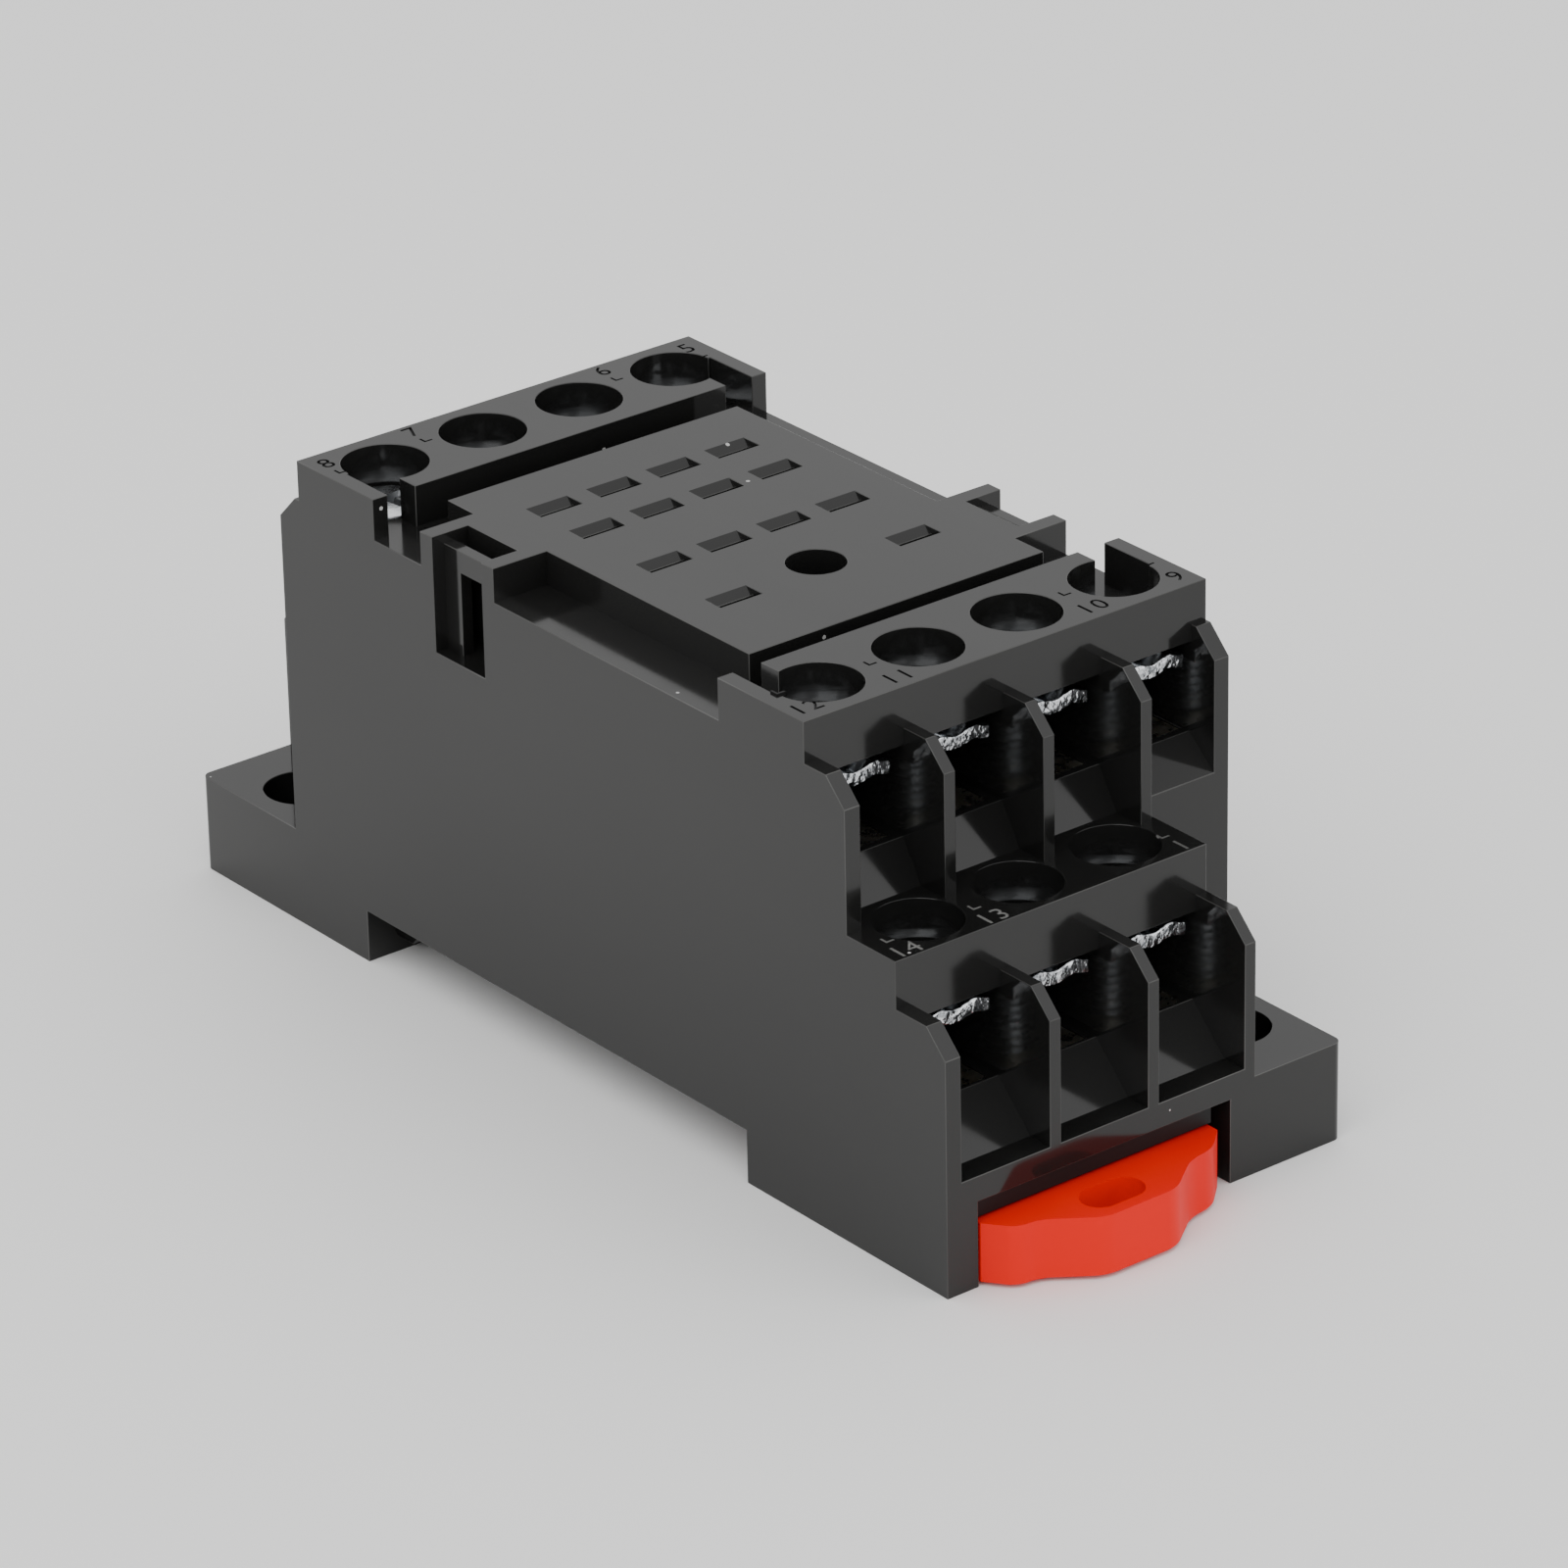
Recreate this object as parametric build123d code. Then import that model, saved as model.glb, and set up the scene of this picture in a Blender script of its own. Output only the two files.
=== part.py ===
from build123d import *
import os

# Relay socket for a plug-in relay with fourteen flat blades, in millimetres.
# X runs across the socket, Y along it with the rail clip at -Y, and Z up.
# The origin is the centre of the base, midway between the two fixing holes.

# Screw terminals: four columns across the upper tier, three across the lower
column_pitch = 7.2
corner_bay_inset = 0.4
lower_column_shift = 0.4
outer_wall = 1.1
divider_wall = 0.8
well_radius = 2.65
chamber_reach = 2.8
wall_chamfer = 1.6

# Heights, each counted up from the one below it
lower_floor_z = 7.0
lower_ramp_rise = 2.75
lower_bay_height = 5.65
lower_lip_thickness = 4.0
corner_ramp_rise = 0.6
upper_ramp_rise = 2.5
upper_bay_height = 5.7
upper_lip_thickness = 3.6

# Tops of the walls, the deck and the relay plate, each from its neighbour
lower_wall_drop = 2.95
upper_wall_drop = 2.55
deck_drop = 2.6
plate_rise = 2.15
flange_top = 6.3

# Steps of one end along Y, each counted outwards from the one before it
upper_inner_y = 16.35
upper_screw_depth = 4.1
upper_ramp_reach = 3.35
upper_face_reach = 0.2
upper_foot_reach = 1.35
upper_corner_reach = 2.0
upper_wall_reach = 3.5
lower_screw_depth = 1.0
lower_ramp_reach = 3.0
lower_face_reach = 0.25
lower_foot_reach = 2.5
lower_sill_reach = 4.25

# Relay plate, the raised pad that the relay stands on
plate_length = 28.5
plate_side_ledge = 3.9
notch_width = 2.0

# Fixing flanges beside the lower tiers
fixing_side_inset = 3.65
fixing_end_inset = 5.6
fixing_hole_radius = 2.4
flange_corner_radius = 0.6

# Channel for a 35 mm rail across the underside
channel_front_y = -18.05
channel_back_y = 18.8
channel_ceiling = 3.4
rail_thickness = 1.0
rail_lip_gap = 0.2
hook_reach = 1.6
hook_height = 1.6
hook_width = 6.0
hook_spacing = 18.0

# Retainer ears at the sides of the relay plate, from the side inwards
ear_near_y = 4.6
ear_far_y = 11.7
ear_rib = 1.15
ear_pocket_depth = 0.9
ear_bar_thickness = 0.8
ear_slot_width = 0.95
ear_bar_drop = 0.65
ear_bar_height = 1.4
ear_pocket_height = 5.3
ear_window_length = 3.3

# Blade slots of the relay plate: rows of blades along Y and columns along X
blade_pitch_x = 4.4
coil_row_y = -7.85
changeover_row_y = -1.4
make_row_y = 4.95
break_row_y = 9.1
slot_length = 3.0
slot_mouth = 1.5
slot_neck = 0.8
slot_bevel_depth = 0.35
slot_roof = 1.75
fork_chamber_x = 3.2
fork_chamber_y = 3.0
centre_hole_y = -6.8
centre_hole_radius = 1.8
centre_hole_depth = 12.0

# Contact strips, stamped from sheet and bent
strip_thickness = 0.8
strip_width = 1.6
plate_drop = 0.1
screw_plate_width = 5.3
screw_plate_reach = 2.75
lane_offset = 1.8
far_turn_reach = 9.5
turn_reach = 5.7
near_turn_reach = 3.7
fork_width = 2.6
leaf_thickness = 0.4
leaf_belly = 1.1
leaf_flare = 0.85
leaf_tip_gap = 0.7
leaf_tip_length = 1.7
leaf_length = 7.8
leaf_root_length = 1.8
leaf_root_lap = 0.3
blade_thickness = 0.5

# Terminal screws and their saddle clamps
screw_shank_radius = 1.5
screw_head_radius = 2.4
screw_head_height = 1.75
screw_length = 6.5
recess_length = 3.2
recess_width = 0.7
recess_depth = 1.1
upper_clamp_drop = 0.5
lower_clamp_drop = 0.1
clamp_side_gap = 0.8
clamp_front = 3.35
clamp_back = 2.55
clamp_thickness = 0.9
clamp_arch = 0.2
clamp_edge = 0.65
clamped_gap = 0.3

# Rail clip, an orange slider in the front end of the base
clip_slot_wall = 2.25
clip_slot_margin = 1.85
clip_notch_width = 1.05
clip_bottom = 0.3
clip_top = 4.0
clip_rear_wall = 2.75
clip_flange_bottom = 1.25
clip_web_inset = 1.45
clip_handle_inset = 1.3
clip_handle_reach = 4.0
clip_shoulder_reach = 1.75
clip_left_shoulder = (1.3, 2.7)
clip_right_shoulder = (1.65, 3.55)
clip_tip_insets = (5.8, 6.25)
clip_shoulder_slope = 0.25
clip_nose_reach = 3.05
clip_nose_width = 10.6
clip_nose_chamfer = 1.3
clip_travel = 3.0
clip_arm_slit = 0.9
clip_arm_width = 1.4
clip_arm_root = 2.2
clip_nub_inset = 3.2
clip_nub_radius = 0.9
clip_nub_rise = 0.65
clip_grip_width = 4.2
clip_grip_depth = 2.4
clip_grip_inset = 7.9
clip_grip_reach = 2.0
mouth_recess_depth = 0.4
mouth_depth = 2.0
mouth_rise = 1.4

# Contact cavity and the bottom cover that closes it
cover_thickness = 1.6
cover_side_wall = 1.4
cavity_side_ledge = 0.4
cavity_end_ledge = 0.7
leg_end_gap = 0.7
cover_rib = 0.8
cover_rib_height = 0.8
cover_rib_places = (-12.9, -4.6, 2.6, 7.6)
stake_radius = 0.9
stake_lane_gap = 0.6
stake_wall_gap = 0.5
stake_end_y = 15.0
stake_left_y = 0.6
stake_right_y = 1.0

# Clearances
running_gap = 0.15
fit_gap = 0.05
overshoot = 1.0

# Derived widths and columns
half_bay = (column_pitch - divider_wall) / 2
wall_inner_x = 1.5 * column_pitch + half_bay - corner_bay_inset
half_width = wall_inner_x + outer_wall
upper_columns = [(i - 1.5) * column_pitch for i in range(4)]
lower_columns = [(i - 1.5) * column_pitch + lower_column_shift for i in range(3)]
blade_columns = [(i - 1.5) * blade_pitch_x for i in range(4)]
lower_block_edge_x = lower_columns[-1] + half_bay + divider_wall
plate_half_width = half_width - plate_side_ledge
plate_half_length = plate_length / 2
cover_half_width = half_width - cover_side_wall
cavity_half_width = cover_half_width - cavity_side_ledge

# Derived heights
lower_ramp_top_z = lower_floor_z + lower_ramp_rise
lower_lip_z = lower_ramp_top_z + lower_bay_height
step_top = lower_lip_z + lower_lip_thickness
upper_ramp_top_z = step_top + upper_ramp_rise
upper_lip_z = upper_ramp_top_z + upper_bay_height
row_top = upper_lip_z + upper_lip_thickness
lower_wall_top = step_top - lower_wall_drop
upper_wall_top = row_top - upper_wall_drop
deck_top = row_top - deck_drop
plate_top = deck_top + plate_rise
slot_ceiling = plate_top - slot_roof
cover_top = channel_ceiling + cover_thickness
low_level_z = cover_top + cover_rib_height
hook_top = channel_ceiling - rail_thickness - rail_lip_gap

# Derived places along Y, as distances from the middle
upper_screw_y = upper_inner_y + upper_screw_depth
upper_ramp_top_y = upper_screw_y + upper_ramp_reach
upper_face_y = upper_ramp_top_y + upper_face_reach
upper_ramp_foot_y = upper_face_y + upper_foot_reach
upper_corner_y = upper_face_y + upper_corner_reach
upper_wall_y = upper_face_y + upper_wall_reach
lower_screw_y = upper_wall_y + lower_screw_depth
lower_ramp_top_y = lower_screw_y + lower_ramp_reach
lower_face_y = lower_ramp_top_y + lower_face_reach
lower_ramp_foot_y = lower_face_y + lower_foot_reach
half_length = lower_face_y + lower_sill_reach
upper_leg_y = upper_screw_y - screw_plate_reach
cavity_half_length = upper_leg_y - leg_end_gap
cover_half_length = cavity_half_length + cavity_end_ledge

# Derived places of the clamps and the rail clip
clamp_width = 2 * (half_bay - clamp_side_gap)
clamp_height = clamp_arch + clamp_thickness
upper_clamp_top = upper_lip_z - upper_clamp_drop
lower_clamp_top = lower_lip_z - lower_clamp_drop
upper_travel = upper_clamp_top - clamp_height - upper_ramp_top_z - clamped_gap
lower_travel = lower_clamp_top - clamp_height - lower_ramp_top_z - clamped_gap
slot_left_x = clip_slot_wall - half_width
slot_right_x = lower_block_edge_x - clip_slot_margin
guide_right_x = slot_right_x - clip_notch_width
clip_left_x = slot_left_x + running_gap
clip_right_x = guide_right_x - running_gap
clip_rear_y = channel_front_y - clip_rear_wall
clip_nose_y = channel_front_y + clip_nose_reach
clip_nub_y = clip_rear_y - clip_nub_inset
clip_handle_y = clip_handle_inset - half_length
clip_arm_root_y = clip_handle_y + clip_arm_root
clip_nose_x = (clip_left_x + clip_right_x) / 2


def block(x0, x1, y0, y1, z0, z1):
    """Rectangular block between two corners."""
    return Pos(x0, y0, z0) * Box(x1 - x0, y1 - y0, z1 - z0, align=(Align.MIN, Align.MIN, Align.MIN))


def post(x, y, radius, z0, z1):
    """Upright cylinder between two heights."""
    return Pos(x, y, z0) * Cylinder(radius, z1 - z0, align=(Align.CENTER, Align.CENTER, Align.MIN))


def eight_sided(x, y, radius, z0, z1):
    """Upright eight-sided prism round a circle, for hidden pins and holes that repeat."""
    outline = RegularPolygon(radius, 8, major_radius=False, rotation=22.5)
    return Pos(x, y, z0) * extrude(outline, amount=z1 - z0)


def prism_x(points, x0, x1):
    """Outline in the YZ plane, drawn out along X from x0 to x1."""
    outline = make_face(Polyline(*points, close=True))
    return Pos(x0, 0, 0) * extrude(Plane.YZ * outline, amount=x1 - x0)


def prism_y(points, y0, y1):
    """Outline in the XZ plane, drawn out along Y from y0 to y1."""
    outline = make_face(Polyline(*points, close=True))
    return Pos(0, y1, 0) * extrude(Plane.XZ * outline, amount=y1 - y0)


def prism_z(points, z0, z1):
    """Outline in the XY plane, drawn up from z0 to z1."""
    outline = make_face(Polyline(*points, close=True))
    return Pos(0, 0, z0) * extrude(outline, amount=z1 - z0)


def turned(shape):
    """The same shape at the other end of the socket."""
    return Rot(0, 0, 180) * shape


def both_ends(shapes):
    """Shapes of the front end, with their copies at the back end."""
    return shapes + [turned(shape) for shape in shapes]


def tiered_outline():
    """Side outline of the front end where both terminal tiers stand."""
    return [
        (0, 0),
        (-half_length, 0),
        (-half_length, lower_wall_top - wall_chamfer),
        (-half_length + wall_chamfer, lower_wall_top),
        (-lower_face_y, lower_wall_top),
        (-lower_face_y, step_top),
        (-upper_wall_y, step_top),
        (-upper_wall_y, upper_wall_top - wall_chamfer),
        (-upper_wall_y + wall_chamfer, upper_wall_top),
        (-upper_face_y, upper_wall_top),
        (-upper_face_y, row_top),
        (-upper_inner_y, row_top),
        (-upper_inner_y, deck_top),
        (0, deck_top),
    ]


def flanged_outline():
    """Side outline of the front end above the fixing flange."""
    return [
        (0, 0),
        (-half_length, 0),
        (-half_length, flange_top),
        (-upper_corner_y, flange_top),
        (-upper_corner_y, upper_wall_top - wall_chamfer),
        (-upper_corner_y + wall_chamfer, upper_wall_top),
        (-upper_face_y, upper_wall_top),
        (-upper_face_y, row_top),
        (-upper_inner_y, row_top),
        (-upper_inner_y, deck_top),
        (0, deck_top),
    ]


def upper_bay_outline():
    """Side outline of the space in an upper bay that ends on the step."""
    back_y = -upper_screw_y + chamber_reach
    return [
        (back_y, upper_lip_z),
        (-upper_face_y, upper_lip_z),
        (-upper_face_y, row_top + overshoot),
        (-upper_wall_y - overshoot, row_top + overshoot),
        (-upper_wall_y - overshoot, step_top),
        (-upper_ramp_foot_y, step_top),
        (-upper_ramp_top_y, upper_ramp_top_z),
        (back_y, upper_ramp_top_z),
    ]


def corner_bay_outline():
    """Side outline of the space in the upper bay above the flange."""
    back_y = -upper_screw_y + chamber_reach
    return [
        (back_y, upper_lip_z),
        (-upper_face_y, upper_lip_z),
        (-upper_face_y, row_top + overshoot),
        (-upper_wall_y - overshoot, row_top + overshoot),
        (-upper_wall_y - overshoot, step_top),
        (-upper_corner_y, step_top),
        (-upper_corner_y, step_top + corner_ramp_rise),
        (-upper_ramp_top_y, upper_ramp_top_z),
        (back_y, upper_ramp_top_z),
    ]


def lower_bay_outline():
    """Side outline of the space in a lower bay."""
    back_y = -lower_screw_y + chamber_reach
    return [
        (back_y, lower_lip_z),
        (-lower_face_y, lower_lip_z),
        (-lower_face_y, lower_wall_top + overshoot),
        (-half_length - overshoot, lower_wall_top + overshoot),
        (-half_length - overshoot, lower_floor_z),
        (-lower_ramp_foot_y, lower_floor_z),
        (-lower_ramp_top_y, lower_ramp_top_z),
        (back_y, lower_ramp_top_z),
    ]


def bay_span(columns, index):
    """Left and right faces of a bay, which end at the outer wall in a corner."""
    left = -wall_inner_x if index == 0 else columns[index] - half_bay
    right = wall_inner_x if index == 3 else columns[index] + half_bay
    return left, right


def thread_relief(x, y, clamp_top, travel, ceiling):
    """Square pit under a screw plate that takes the tip of the driven screw."""
    reach = screw_shank_radius + running_gap
    floor = clamp_top - screw_length - travel - running_gap
    return block(x - reach, x + reach, y - reach, y + reach, floor, ceiling)


def terminal_spaces():
    """Bays, screw wells and thread reliefs of the front end."""
    spaces = []
    for index, x in enumerate(upper_columns):
        outline = corner_bay_outline() if index == 3 else upper_bay_outline()
        spaces.append(prism_x(outline, *bay_span(upper_columns, index)))
        spaces.append(post(x, -upper_screw_y, well_radius, upper_ramp_top_z, row_top + overshoot))
        spaces.append(thread_relief(x, -upper_screw_y, upper_clamp_top, upper_travel, upper_ramp_top_z))
    for index, x in enumerate(lower_columns):
        spaces.append(prism_x(lower_bay_outline(), *bay_span(lower_columns, index)))
        spaces.append(post(x, -lower_screw_y, well_radius, lower_ramp_top_z, step_top + overshoot))
        spaces.append(thread_relief(x, -lower_screw_y, lower_clamp_top, lower_travel, lower_ramp_top_z))
    return spaces


def corner_notches():
    """Notches that open the two corner wells of the front end to the deck."""
    notch_y = (-upper_screw_y, -upper_inner_y + overshoot)
    left = block(-wall_inner_x, -wall_inner_x + notch_width, *notch_y, deck_top, row_top + overshoot)
    right = block(wall_inner_x - notch_width, wall_inner_x, *notch_y, deck_top, row_top + overshoot)
    return [left, right]


def fixing_hole():
    """Screw hole through the front flange."""
    x = half_width - fixing_side_inset
    y = half_length - fixing_end_inset
    return post(x, -y, fixing_hole_radius, -overshoot, flange_top + overshoot)


def left_ear():
    """Solid of the retainer ear on the left, before it is hollowed."""
    return block(-half_width, -plate_half_width, ear_near_y, ear_far_y, deck_top, plate_top)


def left_ear_spaces():
    """Slot, side pocket and window that leave the ear's outer bar."""
    y0 = ear_near_y + ear_rib
    y1 = ear_far_y - ear_rib
    bar_x0 = ear_pocket_depth - half_width
    bar_x1 = bar_x0 + ear_bar_thickness
    bar_top = plate_top - ear_bar_drop
    bar_bottom = bar_top - ear_bar_height
    floor = bar_bottom - ear_pocket_height
    top = plate_top + overshoot
    slot = block(bar_x1, bar_x1 + ear_slot_width, y0, y1, floor, top)
    pocket = block(-half_width - overshoot, bar_x0, y0, y1, floor, top)
    over_bar = block(bar_x0 - fit_gap, bar_x1 + fit_gap, y0, y1, bar_top, top)
    window = block(bar_x0 - fit_gap, bar_x1 + fit_gap, y0, y0 + ear_window_length, floor, bar_bottom)
    return [slot, pocket, over_bar, window]


def blade_places():
    """Places of the fourteen relay blades."""
    places = [(x, break_row_y) for x in blade_columns]
    places += [(x, make_row_y) for x in blade_columns]
    places += [(x, changeover_row_y) for x in blade_columns]
    places += [(blade_columns[0], coil_row_y), (blade_columns[3], coil_row_y)]
    return places


def blade_slot(x, y):
    """Mouth of one slot, bevelled on its far side, and the fork chamber below it."""
    near_y = y - slot_neck / 2
    far_y = y + slot_neck / 2
    profile = [
        (near_y, plate_top + overshoot),
        (near_y, slot_ceiling - fit_gap),
        (far_y, slot_ceiling - fit_gap),
        (far_y, plate_top - slot_bevel_depth),
        (near_y + slot_mouth, plate_top),
        (near_y + slot_mouth, plate_top + overshoot),
    ]
    mouth = prism_x(profile, x - slot_length / 2, x + slot_length / 2)
    half_x = fork_chamber_x / 2
    half_y = fork_chamber_y / 2
    floor = lower_ramp_top_z - fit_gap
    chamber = block(x - half_x, x + half_x, y - half_y, y + half_y, floor, slot_ceiling)
    return [mouth, chamber]


def clip_slot():
    """Slot of the rail clip: mouth, guided run, arm pockets and nose window."""
    front_y = -half_length - overshoot
    recess_end = -half_length + mouth_recess_depth
    mouth_end = -half_length + mouth_depth
    rear_y = clip_rear_y + running_gap
    mouth_top = clip_top + mouth_rise
    slot_z = (clip_flange_bottom - running_gap, clip_top + running_gap)
    recess = block(slot_left_x, guide_right_x, front_y, recess_end, -overshoot, mouth_top)
    notch = block(guide_right_x - fit_gap, slot_right_x, front_y, mouth_end, -overshoot, mouth_top)
    entry = block(slot_left_x, guide_right_x, front_y, mouth_end, -overshoot, slot_z[1])
    run = block(slot_left_x, guide_right_x, mouth_end - fit_gap, rear_y, *slot_z)
    web_x = (clip_left_x + clip_web_inset - running_gap, clip_right_x - clip_web_inset + running_gap)
    web = block(*web_x, mouth_end - fit_gap, rear_y, -overshoot, clip_flange_bottom)
    nose_half = clip_nose_width / 2 + running_gap
    nose_x = (clip_nose_x - nose_half, clip_nose_x + nose_half)
    window = block(*nose_x, clip_rear_y, channel_front_y + fit_gap, -overshoot, hook_top + running_gap)
    pocket_y0 = clip_nub_y - clip_nub_radius - clip_travel - running_gap
    pocket_y1 = clip_nub_y + clip_nub_radius + running_gap
    pocket_depth = clip_nub_rise + 2 * running_gap
    left_pocket = block(clip_left_x - pocket_depth, slot_left_x + fit_gap, pocket_y0, pocket_y1, *slot_z)
    right_pocket = block(guide_right_x - fit_gap, clip_right_x + pocket_depth, pocket_y0, pocket_y1, *slot_z)
    return [recess, notch, entry, run, web, window, left_pocket, right_pocket]


def rail_channel():
    """Channel across the underside, less the two fixed hooks at its back."""
    side = half_width + overshoot
    channel = block(-side, side, channel_front_y, channel_back_y, -overshoot, channel_ceiling)
    hook_bottom = hook_top - hook_height
    tip_y = channel_back_y - hook_reach
    hook = [
        (channel_back_y + fit_gap, hook_top),
        (tip_y, hook_top),
        (tip_y, hook_bottom + hook_height / 2),
        (tip_y + hook_height / 2, hook_bottom),
        (channel_back_y + fit_gap, hook_bottom),
    ]
    for x in (-hook_spacing / 2, hook_spacing / 2):
        channel -= prism_x(hook, x - hook_width / 2, x + hook_width / 2)
    return channel


def stake_places():
    """Places of the four stakes that hold the bottom cover, clear of the strips."""
    lanes = upper_lanes()
    end_x = (lanes[2] + lanes[3]) / 2
    left_x = lower_lanes()[0] + strip_width / 2 + stake_lane_gap + stake_radius
    right_x = cavity_half_width - stake_wall_gap - stake_radius
    ends = [(end_x, -stake_end_y), (-end_x, stake_end_y)]
    return ends + [(left_x, stake_left_y), (right_x, stake_right_y)]


def contact_cavity():
    """Cavity for the contact strips, with the recess of the bottom cover."""
    half_x = cavity_half_width
    half_y = cavity_half_length
    cavity = block(-half_x, half_x, -half_y, half_y, channel_ceiling - fit_gap, lower_ramp_top_z)
    recess_x = cover_half_width + fit_gap
    recess_y = cover_half_length + fit_gap
    cavity += block(-recess_x, recess_x, -recess_y, recess_y, channel_ceiling - fit_gap, cover_top)
    for x, y in stake_places():
        cavity -= eight_sided(x, y, stake_radius, channel_ceiling, lower_ramp_top_z)
    return cavity


def strip_run(points, z_top):
    """Flat run of a strip along right-angled points, with its top at z_top."""
    half = strip_width / 2
    run = None
    for (x0, y0), (x1, y1) in zip(points, points[1:]):
        left, right = min(x0, x1) - half, max(x0, x1) + half
        near, far = min(y0, y1) - half, max(y0, y1) + half
        piece = block(left, right, near, far, z_top - strip_thickness, z_top)
        run = piece if run is None else run + piece
    return run


def fork(x, y, z_base):
    """Stem and two sprung leaves that grip one relay blade."""
    tip_z = slot_ceiling - leaf_tip_gap
    pinch_z = tip_z - leaf_tip_length
    belly_z = pinch_z - leaf_length
    root_z = belly_z - leaf_root_length
    half_width_x = fork_width / 2
    half_stem = strip_thickness / 2
    half_leaf = leaf_thickness / 2
    pinch = (blade_thickness + leaf_thickness) / 2
    stem_y = (y - half_stem, y + half_stem)
    shape = block(x - half_width_x, x + half_width_x, *stem_y, z_base, root_z + leaf_root_lap)
    line = [(half_stem / 2, root_z), (leaf_belly, belly_z), (pinch, pinch_z), (leaf_flare, tip_z)]
    for side in (-1, 1):
        outer = [(y + side * (offset + half_leaf), z) for offset, z in line]
        inner = [(y + side * (offset - half_leaf), z) for offset, z in reversed(line)]
        shape += prism_x(outer + inner, x - half_width_x, x + half_width_x)
    return shape


def screw_plate(x, y, top):
    """Flat end of a contact under the clamp, with the hole for the screw."""
    half = screw_plate_width / 2
    plate_y = (y - screw_plate_reach, y + screw_plate_reach)
    plate = block(x - half, x + half, *plate_y, top - strip_thickness, top)
    return plate - eight_sided(x, y, screw_shank_radius + fit_gap, 0, row_top)


def upper_contact(x, lane, turn_y, fork_x, fork_y):
    """Contact of an upper terminal: screw plate, leg, low run and fork."""
    top = upper_ramp_top_z - plate_drop
    half = strip_width / 2
    leg_y = (-upper_leg_y - fit_gap, -upper_leg_y + strip_thickness)
    shape = screw_plate(x, -upper_screw_y, top)
    shape += block(lane - half, lane + half, *leg_y, top - strip_thickness, top)
    shape += block(lane - half, lane + half, -upper_leg_y, leg_y[1], low_level_z, top)
    route = [(lane, -upper_leg_y + half), (lane, turn_y), (fork_x, turn_y), (fork_x, fork_y)]
    shape += strip_run(route, low_level_z + strip_thickness)
    return shape + fork(fork_x, fork_y, low_level_z)


def lower_contact(x, lane, turn_y, fork_x, fork_y):
    """Contact of a lower terminal: screw plate, high run and fork."""
    top = lower_ramp_top_z - plate_drop
    rear = -lower_screw_y + screw_plate_reach + strip_width / 2 - fit_gap
    route = [(lane, rear), (lane, turn_y), (fork_x, turn_y), (fork_x, fork_y)]
    shape = screw_plate(x, -lower_screw_y, top)
    shape += strip_run(route, top)
    return shape + fork(fork_x, fork_y, top - strip_thickness)


def upper_contact_space(x, lane):
    """Seat of an upper screw plate and the shaft of its leg."""
    top = upper_ramp_top_z
    half = strip_width / 2 + fit_gap
    half_plate = screw_plate_width / 2 + fit_gap
    seat_y = (-upper_screw_y - screw_plate_reach - fit_gap, -upper_screw_y + chamber_reach)
    seat = block(x - half_plate, x + half_plate, *seat_y, top - plate_drop - strip_thickness, top + fit_gap)
    shaft_y = (-upper_leg_y - fit_gap, -upper_leg_y + strip_thickness + fit_gap)
    shaft = block(lane - half, lane + half, *shaft_y, cover_top - fit_gap, top - plate_drop + fit_gap)
    return [seat, shaft]


def lower_contact_space(x, lane):
    """Seat of a lower screw plate and the passage of its run."""
    top = lower_ramp_top_z
    floor = top - plate_drop - strip_thickness
    half = strip_width / 2 + fit_gap
    half_plate = screw_plate_width / 2 + fit_gap
    seat_y = (-lower_screw_y - screw_plate_reach - fit_gap, -lower_screw_y + chamber_reach)
    seat = block(x - half_plate, x + half_plate, *seat_y, floor, top + fit_gap)
    passage_y = (seat_y[1] - strip_width, -cavity_half_length + fit_gap)
    passage = block(lane - half, lane + half, *passage_y, floor, top)
    return [seat, passage]


def upper_lanes():
    """Places across the socket where the four upper contacts run inwards."""
    return [x + lane_offset for x in upper_columns[:3]] + [upper_columns[3]]


def lower_lanes():
    """Places across the socket where the three lower contacts run inwards."""
    edge_lane = -cavity_half_width + strip_width / 2 + 2 * fit_gap
    return [edge_lane, lower_columns[1] - lane_offset, lower_columns[2] - lane_offset]


def upper_routes(fork_y):
    """Screw column, lane, turn and fork place of the four upper contacts."""
    turns = [turn_reach - upper_leg_y] * 3 + [far_turn_reach - upper_leg_y]
    lanes = upper_lanes()
    return [(upper_columns[i], lanes[i], turns[i], blade_columns[i], fork_y) for i in range(4)]


def front_lower_routes():
    """Routes at the front: one to the far row and two coil contacts."""
    lanes = lower_lanes()
    return [
        (lower_columns[0], lanes[0], break_row_y, blade_columns[0], break_row_y),
        (lower_columns[1], lanes[1], coil_row_y, blade_columns[0], coil_row_y),
        (lower_columns[2], lanes[2], coil_row_y, blade_columns[3], coil_row_y),
    ]


def back_lower_routes():
    """Routes at the back, given as if that end were turned to the front."""
    lanes = lower_lanes()
    row = -break_row_y
    return [
        (lower_columns[0], lanes[0], row, blade_columns[0], row),
        (lower_columns[1], lanes[1], near_turn_reach - upper_leg_y, blade_columns[1], row),
        (lower_columns[2], lanes[2], turn_reach - upper_leg_y, blade_columns[2], row),
    ]


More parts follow.
